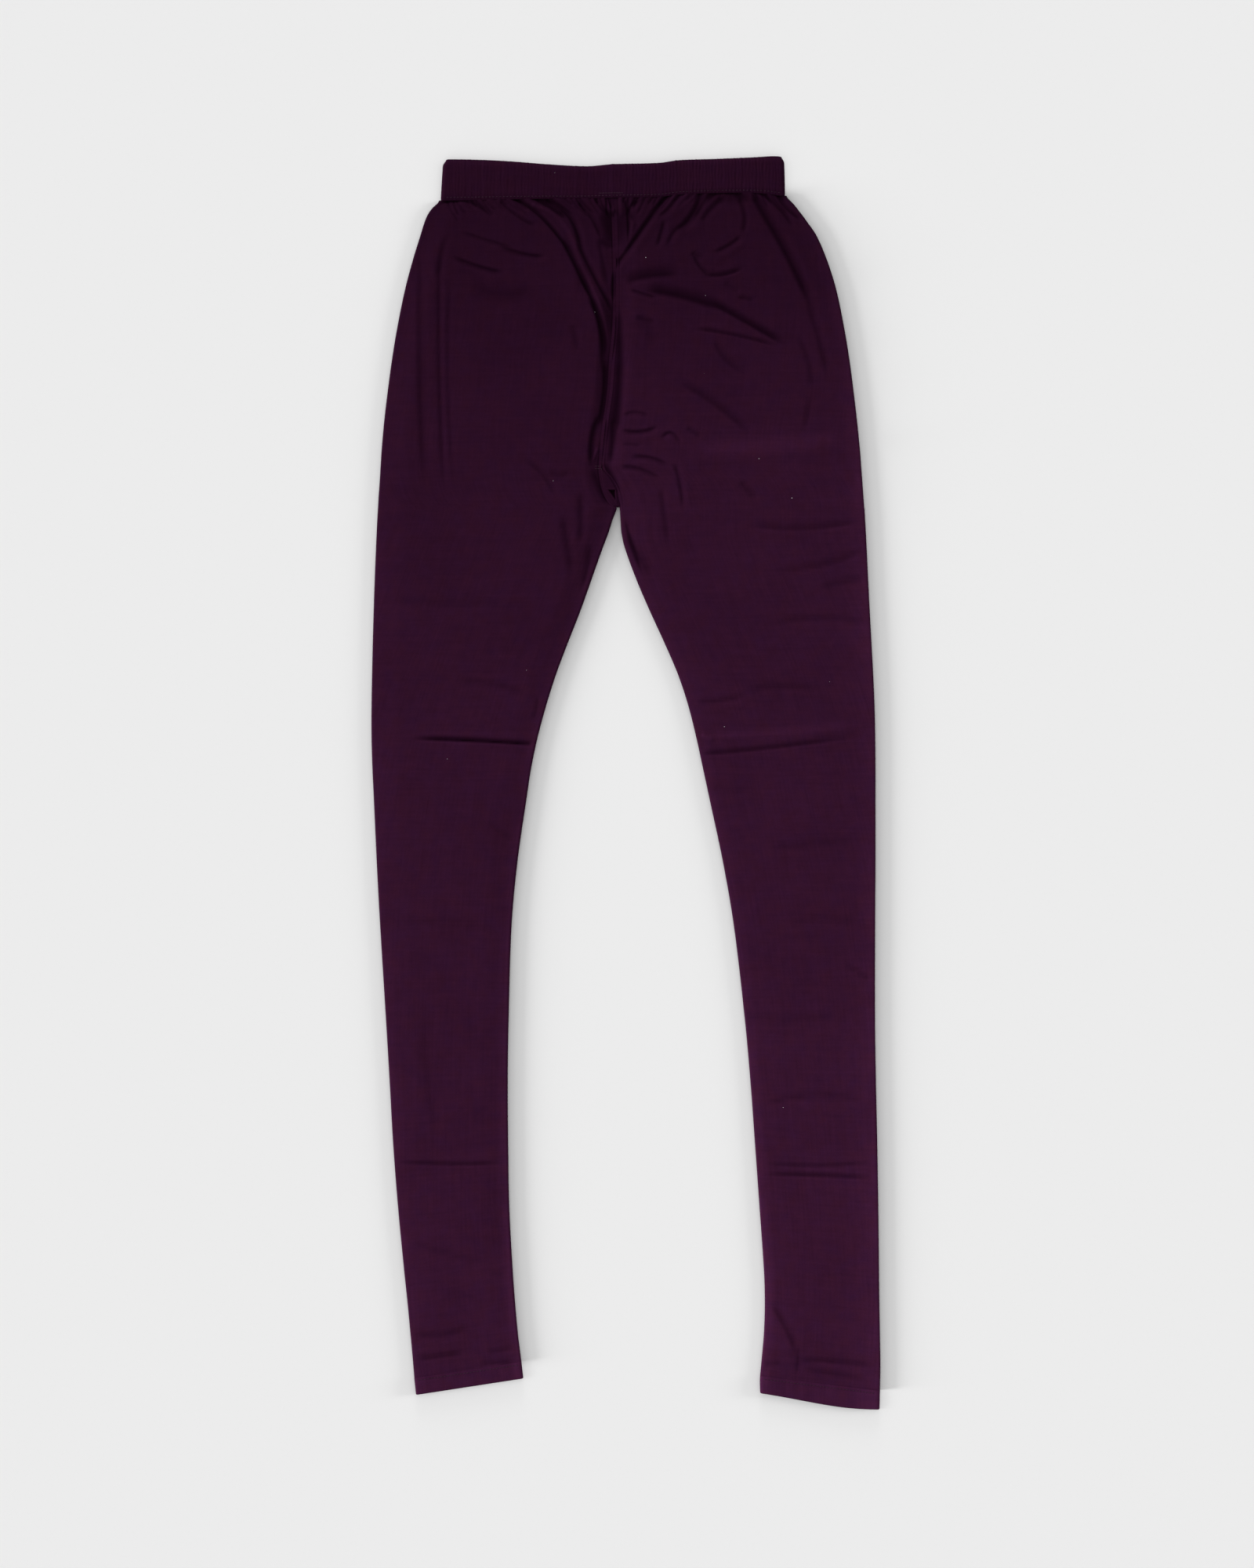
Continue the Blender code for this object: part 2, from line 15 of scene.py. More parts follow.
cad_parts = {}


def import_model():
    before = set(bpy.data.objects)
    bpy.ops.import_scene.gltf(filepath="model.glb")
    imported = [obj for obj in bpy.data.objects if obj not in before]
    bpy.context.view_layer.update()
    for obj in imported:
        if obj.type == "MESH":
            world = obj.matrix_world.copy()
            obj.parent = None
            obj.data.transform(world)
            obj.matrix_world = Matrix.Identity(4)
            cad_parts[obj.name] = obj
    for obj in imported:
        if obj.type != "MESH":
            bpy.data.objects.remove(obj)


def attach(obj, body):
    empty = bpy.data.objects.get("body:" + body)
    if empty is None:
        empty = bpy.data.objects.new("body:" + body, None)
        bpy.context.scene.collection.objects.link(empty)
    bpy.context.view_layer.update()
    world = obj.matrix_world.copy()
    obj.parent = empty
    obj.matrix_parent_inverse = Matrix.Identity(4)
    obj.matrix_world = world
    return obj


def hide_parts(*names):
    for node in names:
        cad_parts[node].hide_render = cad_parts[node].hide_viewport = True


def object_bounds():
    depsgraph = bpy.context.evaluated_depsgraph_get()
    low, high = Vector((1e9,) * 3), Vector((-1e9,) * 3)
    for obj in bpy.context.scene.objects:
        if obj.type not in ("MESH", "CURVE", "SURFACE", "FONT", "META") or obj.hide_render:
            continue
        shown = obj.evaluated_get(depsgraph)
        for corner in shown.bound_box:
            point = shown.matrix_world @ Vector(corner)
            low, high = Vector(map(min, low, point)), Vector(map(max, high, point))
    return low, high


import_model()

cad_low, cad_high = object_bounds()
print("CAD box", [round(v, 4) for v in cad_low], [round(v, 4) for v in cad_high])

# %% [markdown]
# ## One unit for the drawing
# A dressmaker draws in millimetres, so the tables below do too. The garment is 1100 of them
# long, and the frame's length says how many metres one is. The centre line is where x is 0,
# and "down" is the distance below the highest point of the waist.

# %% Drawn millimetres
DRAWN_LENGTH = 1100.0
MM = (cad_high.y - cad_low.y) / DRAWN_LENGTH


def world(x, down, height):
    """Drawn points in metres, as rows of x, y and z."""
    x, down, height = np.broadcast_arrays(x, down, height)
    return np.stack([x * MM, (DRAWN_LENGTH / 2 - down) * MM, height * MM], axis=-1)


def smooth_step(value):
    """Nought below 0, one above 1, and a soft rise between."""
    t = np.clip(value, 0.0, 1.0)
    return t * t * (3.0 - 2.0 * t)


def mix(first, second, share):
    """A value part of the way from the first to the second."""
    return first + (second - first) * share


def table(columns, *rows):
    """Rows of values, each with the columns' names. A last value that is left out is nought."""
    row_type = namedtuple("Row", columns, defaults=(0.0,))
    return [row_type(*row) for row in rows]


print("one drawn millimetre is", round(MM, 6), "m")

# %% [markdown]
# ## The outline
# A laid-out legging is known by its outline. A table of sections says where each leg's two
# edges are, from the waist to the ankle, and how high the front layer stands. A smooth curve
# through each column gives every place between. This is the same table that the solids were
# cut from, so the cloth lies exactly on them.

# %% Sections across the garment
SECTIONS = table(
    "down left_outer left_inner right_inner right_outer height",
    (33.0, -163.4, -10.6, -10.6, 140.4, 5.6),
    (37.0, -165.4, -10.5, -10.5, 142.6, 5.8),
    (41.5, -169.8, -10.4, -10.4, 147.2, 6.0),
    (47.0, -173.4, -10.2, -10.2, 152.0, 6.3),
    (54.0, -176.3, -10.0, -10.0, 157.8, 6.5),
    (67.5, -180.5, -9.5, -9.5, 167.3, 6.8),
    (88.5, -187.0, -8.8, -8.8, 176.5, 7.1),
    (116.0, -194.3, -8.5, -8.5, 185.2, 7.2),
    (150.5, -201.3, -9.5, -9.5, 192.3, 7.2),
    (178.0, -205.8, -12.2, -12.2, 196.8, 7.2),
    (205.5, -209.5, -14.2, -14.2, 200.4, 7.1),
    (232.0, -212.6, -17.8, -17.8, 203.5, 7.0),
    (257.0, -214.8, -20.4, -20.4, 206.0, 6.9),
    (273.0, -215.8, -21.5, -21.0, 207.2, 6.7),
    (281.0, -216.3, -20.8, -14.6, 207.8, 6.6),
    (289.0, -216.8, -19.3, -9.8, 208.4, 6.5),
    (297.0, -217.4, -16.5, -7.0, 209.0, 6.4),
    (304.0, -217.8, -12.2, -5.8, 209.5, 6.3),
    (307.5, -218.0, -8.1, -5.5, 209.8, 6.25),
    (311.0, -218.2, -8.9, -5.1, 210.1, 6.2),
    (318.0, -218.6, -11.6, -4.7, 210.5, 6.1),
    (330.0, -219.2, -15.4, -3.8, 211.2, 6.0),
    (343.5, -219.8, -20.5, -0.7, 211.9, 5.9),
    (371.0, -220.9, -30.2, 9.4, 213.2, 5.8),
    (398.5, -221.8, -40.0, 21.2, 214.6, 5.7),
    (426.0, -222.6, -50.8, 33.8, 216.1, 5.6),
    (454.0, -223.2, -61.3, 45.8, 217.6, 5.5),
    (481.5, -223.7, -70.0, 54.9, 218.8, 5.5),
    (509.0, -223.7, -77.4, 61.8, 219.4, 5.4),
    (536.5, -222.9, -83.2, 67.8, 219.6, 5.3),
    (564.0, -221.6, -87.4, 73.7, 219.6, 5.3),
    (619.0, -219.1, -95.3, 85.4, 219.6, 5.2),
    (674.5, -216.1, -100.4, 94.9, 219.3, 5.2),
    (757.0, -211.0, -103.0, 104.6, 219.2, 5.1),
    (812.5, -207.7, -103.8, 109.6, 220.0, 5.1),
    (867.5, -204.6, -103.4, 113.6, 221.2, 5.0),
    (923.0, -200.3, -102.4, 117.6, 222.1, 5.0),
    (978.0, -195.0, -99.4, 121.4, 222.7, 4.9),
    (1005.5, -192.1, -97.4, 122.2, 223.0, 4.9),
    (1033.0, -189.5, -94.9, 121.4, 223.5, 4.8),
    (1060.5, -187.0, -91.5, 119.0, 223.9, 4.8),
    (1075.0, -185.8, -89.8, 117.8, 223.7, 4.8),
    (1100.0, -183.0, -87.5, 118.9, 223.1, 4.8),
)

# The waistband's top edge and the seam below it, from the picture's left to its right.
BAND = table(
    "across top seam",
    (-162.0, 3.4, 37.6),
    (-155.0, 2.8, 37.5),
    (-123.0, 3.4, 37.0),
    (-95.5, 4.9, 36.3),
    (-68.0, 7.0, 36.0),
    (-34.0, 8.6, 35.8),
    (-12.0, 6.9, 35.2),
    (29.0, 5.7, 34.4),
    (46.5, 3.4, 32.3),
    (83.0, 2.1, 30.9),
    (113.5, 0.8, 30.9),
    (128.0, 0.0, 32.1),
    (135.0, 0.2, 33.1),
    (141.0, 0.8, 33.4),
)


def curve_value(table, column, places):
    """A named column's values on a smooth curve, at places along the table's first column."""
    place = np.array([row[0] for row in table])
    value = np.array([getattr(row, column) for row in table])
    slope = np.empty_like(value)
    slope[1:-1] = (value[2:] - value[:-2]) / (place[2:] - place[:-2])
    slope[0] = (value[1] - value[0]) / (place[1] - place[0])
    slope[-1] = (value[-1] - value[-2]) / (place[-1] - place[-2])
    wanted = np.clip(places, place[0], place[-1])
    at = np.clip(np.searchsorted(place, wanted, side="right") - 1, 0, len(place) - 2)
    step = place[at + 1] - place[at]
    t = (wanted - place[at]) / step
    return (
        value[at] * (2 * t**3 - 3 * t**2 + 1)
        + slope[at] * step * (t**3 - 2 * t**2 + t)
        + value[at + 1] * (3 * t**2 - 2 * t**3)
        + slope[at + 1] * step * (t**3 - t**2)
    )


print(len(SECTIONS), "sections and", len(BAND), "places along the waist")

# %% [markdown]
# ## The folds, placed one by one
# Cloth simulation would drop this flat sheet into folds of its own, and the real ones lie
# where a packer's hands left them. So each fold is a row: where it starts, a place it passes,
# where it ends, its half-width, its depth, and the lip of cloth that is pushed up beside it.
# A depth below nought is a ridge. A lip lies to the right of a fold that runs down the
# picture and above one that runs to the right, or on the other side if it is negative. A row
# without its last value has no lip.

# %% The table of folds
FOLD_COLUMNS = "from_x from_down by_x by_down to_x to_down width depth lip"
FOLDS = table(
    FOLD_COLUMNS,
    # Left of the centre seam, from the band down into the valley.
    (-103, 33, -75, 52, -46, 88, 3, 3.2, 0.2),
    (-57, 70, -44, 95, -31, 123, 5, 3.0, 0.3),
    (-41, 104, -26, 135, -18, 176, 4.5, 2.6, 0.3),
    (-84, 32, -67, 43, -49, 56, 5, 2.7, 0.2),
    (-68, 38, -48, 55, -39, 88, 4.5, 2.4, 0.3),
    (-43, 74, -29, 103, -8, 142, 4, 2.1, 0.3),
    (-80, 41, -53, 60, -41, 92, 4, -1.2),
    (-45, 84, -32, 110, -14, 150, 4, -1.1),
    (-40, 41, -29, 55, -21, 74, 4, 1.4, 0.3),
    (-26, 37, -20, 46, -8, 56, 3.5, 1.2, 0.3),
    (-15, 46, -12, 62, -9, 82, 14, 1.8),
    (-24, 71, -15, 78, -4, 77, 4, 0.9),
    (-24, 70, -20, 90, -15, 116, 4, 0.8),
    (-5, 37, -4, 45, -4, 54, 4, -0.8),
    (0, 40, 2, 57, 2, 77, 3, 1.4, 0.3),
    (-109, 39, -92, 54, -78, 61, 3, 1.5, 0.3),
    (-164, 38, -139, 37, -114, 54, 4.5, 1.5, 0.4),
    (-157, 67, -162, 88, -165, 109, 5, 1.0),
    (-153, 87, -129, 96, -105, 102, 4, 1.8, -0.4),
    (-112, 77, -90, 85, -68, 87, 4, 1.7, -0.3),
    (-144, 65, -122, 73, -96, 80, 3.5, 1.1, -0.2),
    (-137, 112, -109, 121, -75, 116, 12, 0.9),
    (-180, 71, -181, 185, -176, 302, 7, 1.0, 0.3),
    (-163, 71, -164, 185, -159, 306, 4, 0.9, 0.3),
    (-153, 96, -156, 190, -151, 290, 4, 0.6),
    (-47, 146, -44, 158, -41, 172, 6, 0.7),
    # Right of the centre seam.
    (9, 39, 3, 48, 11, 59, 4, 1.1, 0.4),
    (37, 34, 18, 57, -8, 96, 4.5, 2.4, 0.4),
    (0, 83, -11, 106, -8, 136, 3.5, 2.0, 0.3),
    (7, 54, 5, 64, 2, 74, 3, -0.7),
    (50, 32, 40, 43, 27, 54, 4, 1.4, 0.4),
    (65, 32, 60, 48, 44, 65, 6, 2.2, 0.3),
    (34, 54, 31, 66, 27, 80, 4, 1.3, 0.3),
    (52, 58, 42, 66, 36, 79, 4, 1.0, 0.2),
    (76, 32, 69, 42, 58, 57, 4, 1.4, 0.3),
    (70, 46, 86, 34, 112, 45, 4.5, 2.2),
    (84, 41, 73, 49, 66, 58, 5, 1.5),
    (101, 42, 105, 54, 102, 69, 4, 1.3),
    (102, 68, 91, 77, 76, 84, 4, 1.3, 0.4),
    (58, 83, 62, 86, 70, 88, 5, 1.0),
    (59, 85, 65, 96, 74, 105, 3.5, 1.4, 0.3),
    (68, 103, 85, 104, 105, 97, 3.5, 1.6, 0.4),
    (98, 124, 106, 125, 114, 127, 3.5, 1.1, 0.2),
    (86, 110, 93, 114, 101, 119, 5, 0.6),
    (114, 41, 139, 81, 168, 143, 7, 2.3, 0.4),
    (131, 33, 144, 48, 160, 56, 4, 1.8, 0.4),
    (110, 33, 132, 44, 148, 63, 4, 1.7, 0.3),
    (167, 68, 178, 85, 184, 109, 6, 0.8),
    (158, 126, 169, 158, 178, 198, 6, 1.0, 0.2),
    (-1, 111, 20, 105, 52, 103, 9, 1.8, 0.3),
    (4, 116, 15, 120, 30, 124, 3, 1.4, -0.3),
    (16, 117, 50, 123, 92, 136, 9, 2.4, 0.4),
    (72, 126, 106, 145, 146, 168, 5.5, 2.4, 0.8),
    (57, 151, 96, 157, 138, 168, 3, 1.4, 0.4),
    (8, 140, 17, 143, 28, 145, 4, 0.8),
    (11, 137, 20, 150, 26, 168, 9, 0.5),
    (78, 158, 87, 177, 108, 192, 6, 0.9, 0.1),
    (46, 198, 80, 218, 112, 246, 7, 1.2, 0.2),
    (150, 156, 161, 180, 163, 206, 5, 0.8),
    (163, 210, 160, 225, 158, 240, 5, 0.7),
    (100, 284, 107, 292, 116, 301, 6, 0.8),
    # The valley at the centre seam, its ridge, and the right leg's rolled edge.
    (-34, 123, -23, 148, -21, 190, 5, 1.8, 0.3),
    (-20, 174, -19, 206, -25, 237, 5, 2.2, 0.3),
    (-22, 224, -30, 246, -30, 274, 5, 2.2, 0.3),
    (-11, 145, -13, 185, -15, 214, 3, -1.4),
    (-14, 206, -19, 233, -21, 255, 3, -1.2),
    (-8, 128, -5, 164, -5, 196, 6, 1.8),
    (-5, 179, -6, 212, -9, 242, 6, 1.9),
    (-9, 228, -11, 247, -14, 274, 5, 1.8),
    (-16, 112, -12, 185, -20, 276, 14, 1.5),
    (-22, 258, -18, 280, -12, 306, 13, 1.2),
    (-24, 254, -27, 261, -29, 268, 2.5, -0.9),
    (-21, 251, -22, 258, -22, 265, 2, -0.7),
    # Around the crotch.
    (-4, 239, 12, 241, 30, 236, 4, 1.6, -0.4),
    (-4, 228, 9, 224, 23, 229, 4, 1.0, -0.3),
    (4, 263, 22, 264, 39, 271, 4, 1.5, -0.4),
    (30, 249, 40, 242, 50, 254, 3.5, 1.3, -0.2),
    (53, 238, 59, 241, 67, 247, 4, 0.9),
    (-6, 272, 13, 274, 34, 284, 4, 1.3, -0.3),
    (-4, 252, 5, 253, 14, 254, 3, 0.7),
    (41, 268, 47, 285, 50, 312, 4, 1.2, 0.3),
    (31, 288, 34, 312, 38, 341, 5, 0.9),
    (-1, 316, 5, 337, 16, 368, 3.5, 1.3),
    (-2, 329, 11, 349, 24, 371, 8, 1.0),
    (-20, 269, -12, 281, -5, 298, 4, 1.5, 0.5),
    (-29, 273, -22, 290, -11, 309, 6, 1.3),
    (-56, 312, -51, 340, -47, 370, 7, 1.1),
    (-40, 292, -39, 316, -40, 343, 6, 1.1),
    (-31, 337, -33, 359, -38, 383, 6, 1.0),
    (-68, 274, -57, 280, -49, 274, 6, 0.7),
    (-88, 268, -73, 279, -61, 300, 5, 0.8, 0.1),
    # Wrinkles and pressed creases down the legs.
    (104, 322, 156, 327, 213, 318, 6, 0.9, 0.15),
    (128, 364, 176, 358, 214, 343, 6, 0.8, 0.1),
    (168, 379, 192, 373, 214, 370, 6, 0.7),
    (126, 409, 172, 405, 217, 410, 6, 0.7),
    (102, 468, 139, 465, 179, 468, 6, 0.8),
    (62, 477, 82, 477, 110, 470, 4.5, 0.9, -0.2),
    (-150, 460, -116, 463, -84, 473, 6, 0.7),
    (-78, 473, -78, 484, -82, 495, 5, 0.6),
    (44, 258, 125, 256, 206, 247, 14, -1.2),
    (-192, 511, -130, 513, -66, 517, 3.5, 2.5, 0.4),
    (65, 524, 111, 521, 216, 508, 4, 1.3, 0.4),
    (63, 510, 139, 506, 216, 497, 7, -1.0),
    (66, 506, 71, 510, 78, 512, 4, -0.8),
    (120, 605, 167, 603, 212, 597, 6, 0.5),
    (191, 708, 205, 716, 217, 724, 5, 0.7),
    (-122, 584, -109, 593, -98, 601, 5, 0.5),
    (-175, 740, -174, 806, -162, 866, 9, 0.4),
    (-204, 883, -154, 885, -102, 884, 3.5, 1.1, 0.3),
    (118, 884, 167, 886, 220, 883, 3.5, 0.9),
    (121, 894, 170, 895, 220, 898, 3.5, 1.3, 0.4),
    (117, 833, 163, 825, 213, 829, 4, 0.8, 0.2),
    (-193, 950, -154, 964, -116, 971, 6, 0.5),
    (-188, 1034, -160, 1034, -135, 1026, 5, 0.9),
    (-184, 1056, -164, 1054, -138, 1049, 5, 1.1, 0.2),
    (-129, 1059, -115, 1059, -96, 1058, 3.5, 0.9),
    (-124, 1048, -110, 1048, -97, 1044, 4, 0.8),
    (-164, 1002, -144, 1000, -129, 1003, 6, 0.4),
    (127, 1005, 141, 1029, 151, 1052, 6, 1.0, 0.2),
    (151, 1044, 152, 1057, 150, 1070, 5, 0.7),
    (149, 1058, 183, 1058, 224, 1063, 4.5, 1.2, 0.2),
    (158, 1065, 181, 1068, 216, 1075, 4, 0.8),
    (120, 1059, 128, 1060, 139, 1059, 4, 0.8),
    (70, 550, 91, 557, 111, 553, 7, 0.4),
    (139, 674, 173, 669, 215, 672, 7, 0.4),
    (-206, 674, -164, 672, -109, 679, 8, 0.4),
    (-216, 385, -164, 392, -102, 388, 9, 0.4),
    (84, 750, 139, 757, 208, 752, 9, 0.35),
)
print(len(FOLDS), "folds placed by hand")

# %% [markdown]
# ## Gathers under the waistband
# The legs are wider than the elastic, so their top edge is gathered into it and small folds
# fan out below. They are too many and too alike for the table, so a loop makes them: uneven
# in spacing, length and depth, and as large and as slanted as a short table says.

# %% Gathers below the band
LEANS = table(
    "across lean size",
    (-160, 0.5, 1.0),
    (-115, 1.0, 0.7),
    (-70, 1.2, 0.8),
    (-38, 0.8, 1.0),
    (-10, 0.1, 1.0),
    (12, -0.4, 0.8),
    (45, -0.9, 0.7),
    (72, -0.9, 0.5),
    (97, 0.0, 0.3),
    (112, 0.5, 0.8),
    (125, 0.9, 1.1),
    (140, 0.9, 1.0),
)
GATHER_COUNT = 58
GATHER_FROM, GATHER_TO = -157.0, 136.0
GATHER_SHIFT = 2.4
GATHER_LENGTH, GATHER_LENGTH_SPREAD = 15.0, 9.0
GATHER_WIDTH = 2.3
GATHER_DEPTH, GATHER_DEPTH_SPREAD = 1.05, 0.55
GATHER_LIP, GATHER_LEAN_SPREAD, GATHER_HALF_LEAN = 0.25, 0.25, 0.42


def uneven(index, start):
    """A number between -1 and 1 that hardly repeats from one gather to the next."""
    return sin(index * 2.4 + start) * 0.6 + sin(index * 5.1 + 2 * start) * 0.4


def gather_row(index):
    """The values of one small fold that leaves the band's seam."""
    x = mix(GATHER_FROM, GATHER_TO, index / (GATHER_COUNT - 1)) + GATHER_SHIFT * uneven(index, 0.0)
    down = float(curve_value(BAND, "seam", x)) - 1.0
    length = GATHER_LENGTH + GATHER_LENGTH_SPREAD * uneven(index, 1.3)
    lean = float(curve_value(LEANS, "lean", x)) + GATHER_LEAN_SPREAD * uneven(index, 2.9)
    size = float(curve_value(LEANS, "size", x))
    length *= (1 + size) / 2
    depth = size * (GATHER_DEPTH + GATHER_DEPTH_SPREAD * uneven(index, 4.2))
    half_way = (x + lean * length * GATHER_HALF_LEAN, down + length / 2)
    end = (x + lean * length, down + length)
    return (x, down, *half_way, *end, GATHER_WIDTH, depth, GATHER_LIP)


GATHERS = table(FOLD_COLUMNS, *(gather_row(index) for index in range(GATHER_COUNT)))
print(len(GATHERS), "gathers below the band")

# %% [markdown]
# ## How folds shape a surface
# A fold is a curve with a cross-section. A trough has a sharp bottom, because the cloth bends
# tightly there, and a ridge or a lip is round. For each point of the cloth the nearest place
# on each curve is found, and the cross-section there lifts or sinks it. The depth of the
# crease is kept too, for the material, which paints creases darker as painted shade and
# ridges a little lighter as a painted highlight. A second short table adds painted shadows
# where many small creases crowd together.

# %% Relief of the front layer
CURVE_POINTS = 15
FOLD_FADE = 0.24
BAND_REACH = 44.0
LIP_PLACE, LIP_WIDTH = 1.5, 1.3
FOLD_REACH = LIP_PLACE + LIP_WIDTH
STEEP_SIDE, GENTLE_SIDE = 1.7, 0.8
RIDGE_SHARE = 0.6
RIPPLES = table(
    "size across along start",
    (0.09, 170, 83, 0.3),
    (0.07, -131, 47, 1.9),
    (0.07, 61, -119, 4.0),
    (0.04, 310, 23, 2.2),
    (0.04, -97, 31, 5.1),
    (0.03, 43, 210, 3.3),
    (0.03, -290, 14, 0.9),
)

# Painted shadows: soft dark patches added to the crease numbers, which the material paints darker.
SHADOWS = table(
    "x down across along dark",
    (-12, 58, 17, 24, 1.0),
    (0, 57, 10, 22, 1.2),
    (14, 37, 26, 8, 0.9),
    (93, 38, 26, 9, 1.3),
    (48, 57, 12, 16, 0.5),
    (-57, 44, 16, 10, 0.5),
    (-40, 107, 8, 17, 0.9),
    (28, 103, 30, 9, 0.4),
    (-14, 226, 13, 36, 0.7),
    (-14, 292, 15, 24, 0.5),
)


def soft_bump(offset):
    """One in the middle, nought past 1, and round on top."""
    near = np.clip(1 - np.abs(offset), 0, 1)
    return near * near * (3 - 2 * near)


def sharp_bump(offset):
    """One in the middle, nought past 1, and pointed."""
    near = np.clip(1 - np.abs(offset), 0, 1)
    return near * near * (2 - near)


def fold_line(fold):
    """Points along the middle of a fold, on a curve that passes its middle place half-way."""
    start = np.array([fold.from_x, fold.from_down])
    middle = np.array([fold.by_x, fold.by_down])
    end = np.array([fold.to_x, fold.to_down])
    bend = 2 * middle - (start + end) / 2
    t = np.linspace(0, 1, CURVE_POINTS)[:, None]
    return (1 - t) ** 2 * start + 2 * t * (1 - t) * bend + t**2 * end


def nearest_on(line, x, down):
    """How far points are from a line, below nought on its other side, and how far along."""
    least = np.full(x.shape, np.inf)
    side = np.ones(x.shape)
    along = np.zeros(x.shape)
    for index, (start, end) in enumerate(zip(line[:-1], line[1:])):
        way = end - start
        share = np.clip(((x - start[0]) * way[0] + (down - start[1]) * way[1]) / (way @ way), 0, 1)
        off_x = x - start[0] - share * way[0]
        off_down = down - start[1] - share * way[1]
        distance = np.hypot(off_x, off_down)
        closer = distance < least
        least = np.where(closer, distance, least)
        side = np.where(closer, np.sign(way[1] * off_x - way[0] * off_down), side)
        along = np.where(closer, (index + share) / (len(line) - 1), along)
    return least * side, along


def relief(x, down):
    """How far the folds lift the cloth at points, and how deep in a crease each point is."""
    lift = np.zeros(x.shape)
    crease = np.zeros(x.shape)
    for fold in FOLDS + GATHERS:
        line = fold_line(fold)
        reach = fold.width * FOLD_REACH
        low, high = line.min(axis=0) - reach, line.max(axis=0) + reach
        near = (x > low[0]) & (x < high[0]) & (down > low[1]) & (down < high[1])
        if not near.any():
            continue
        offset, along = nearest_on(line, x[near], down[near])
        share = smooth_step((1 - along) / FOLD_FADE)
        if fold.from_down > BAND_REACH:
            share *= smooth_step(along / FOLD_FADE)
        shape = sharp_bump if fold.depth > 0 else soft_bump
        steep = np.where(offset * fold.lip < 0, STEEP_SIDE, GENTLE_SIDE) if fold.lip else 1.0
        hollow = fold.depth * shape(offset / fold.width * steep)
        beside = offset / fold.width - LIP_PLACE * np.sign(fold.lip)
        lip = abs(fold.lip) * soft_bump(beside / LIP_WIDTH)
        lift[near] += share * (lip - hollow)
        crease[near] += share * np.where(hollow > 0, hollow, RIDGE_SHARE * hollow)
    # Painted shadows, added on top of the creases' painted shade.
    for shadow in SHADOWS:
        away = np.hypot((x - shadow.x) / shadow.across, (down - shadow.down) / shadow.along)
        crease += shadow.dark * soft_bump(away)
    for ripple in RIPPLES:
        turn = 2 * pi * (x / ripple.across + down / ripple.along) + ripple.start
        lift += ripple.size * np.sin(turn)
    return lift, crease


print("a fold reaches", FOLD_REACH, "half-widths to each side")

# %% [markdown]
# ## A cloth sheet from rows of points
# A leg has no side seam: it is one sheet that wraps round the outer fold. A sheet is easiest
# to make as a grid whose points are worked out first. The grid carries the cloth's own
# distances as a UV map, so that the knit follows it round every bend, and two numbers at each
# point: the painted light and shade on the dye there, and how deep the crease is, which the
# material turns into painted shade. Solidify adds the wall, but for a ring, whose grid goes
# round its wall already. Cut edges are shaded sharp, so that a rim doesn't darken the face
# beside it.

# %% Helpers that make a sheet
CLOTH_WALL = 0.9
RIM_ANGLE = radians(78)


def select_only(piece=None):
    """Operators act on all that is selected, so one piece is, or nothing."""
    bpy.ops.object.select_all(action="DESELECT")
    if piece:
        piece.select_set(True)
        bpy.context.view_layer.objects.active = piece


def grid_faces(rows, columns, closed_across=False, closed_down=False):
    """The squares of a grid, as rows of four point numbers."""
    down = np.arange(rows if closed_down else rows - 1)[:, None]
    across = np.arange(columns if closed_across else columns - 1)[None, :]
    beside, below = (across + 1) % columns, (down + 1) % rows
    corners = [down * columns + across, below * columns + across]
    corners += [below * columns + beside, down * columns + beside]
    return np.stack([np.broadcast_to(c, (down.size, across.size)).ravel() for c in corners], axis=1)


def cloth_lengths(points):
    """The distance along the cloth to each point of a grid: across each row, and down."""
    across = np.linalg.norm(np.diff(points, axis=1), axis=2).cumsum(axis=1)
    down = np.linalg.norm(np.diff(points, axis=0), axis=2).mean(axis=1).cumsum()
    across = np.pad(across, ((0, 0), (1, 0)))
    down = np.broadcast_to(np.pad(down, (1, 0))[:, None], across.shape)
    return across, down


def new_piece(name, points, faces):
    """A smooth object from points and faces."""
    mesh = bpy.data.meshes.new(name)
    mesh.from_pydata(points, [], faces)
    mesh.shade_smooth()
    piece = bpy.data.objects.new(name, mesh)
    bpy.context.scene.collection.objects.link(piece)
    return piece


def recalculate_outwards(piece):
    """Turns a closed or nearly closed piece's faces to point out."""
    select_only(piece)
    bpy.ops.object.mode_set(mode="EDIT")
    bpy.ops.mesh.select_all(action="SELECT")
    bpy.ops.mesh.normals_make_consistent(inside=False)
    bpy.ops.object.mode_set(mode="OBJECT")


def thicken(piece, wall, kept=1.0):
    """Gives a sheet its wall, inwards, and thins out the inner face to keep a share of all faces."""
    solid = piece.modifiers.new("wall", "SOLIDIFY")
    solid.thickness = wall * MM
    solid.offset = -1.0
    solid.use_rim = True
    inner = piece.vertex_groups.new(name="inner face")
    solid.shell_vertex_group = inner.name
    select_only(piece)
    bpy.ops.object.modifier_apply(modifier=solid.name)
    if kept < 1.0:
        fewer = piece.modifiers.new("fewer", "DECIMATE")
        fewer.ratio = kept
        fewer.vertex_group = inner.name
        bpy.ops.object.modifier_apply(modifier=fewer.name)


def triangles(piece):
    """How many triangles a piece has."""
    return sum(len(face.vertices) - 2 for face in piece.data.polygons)


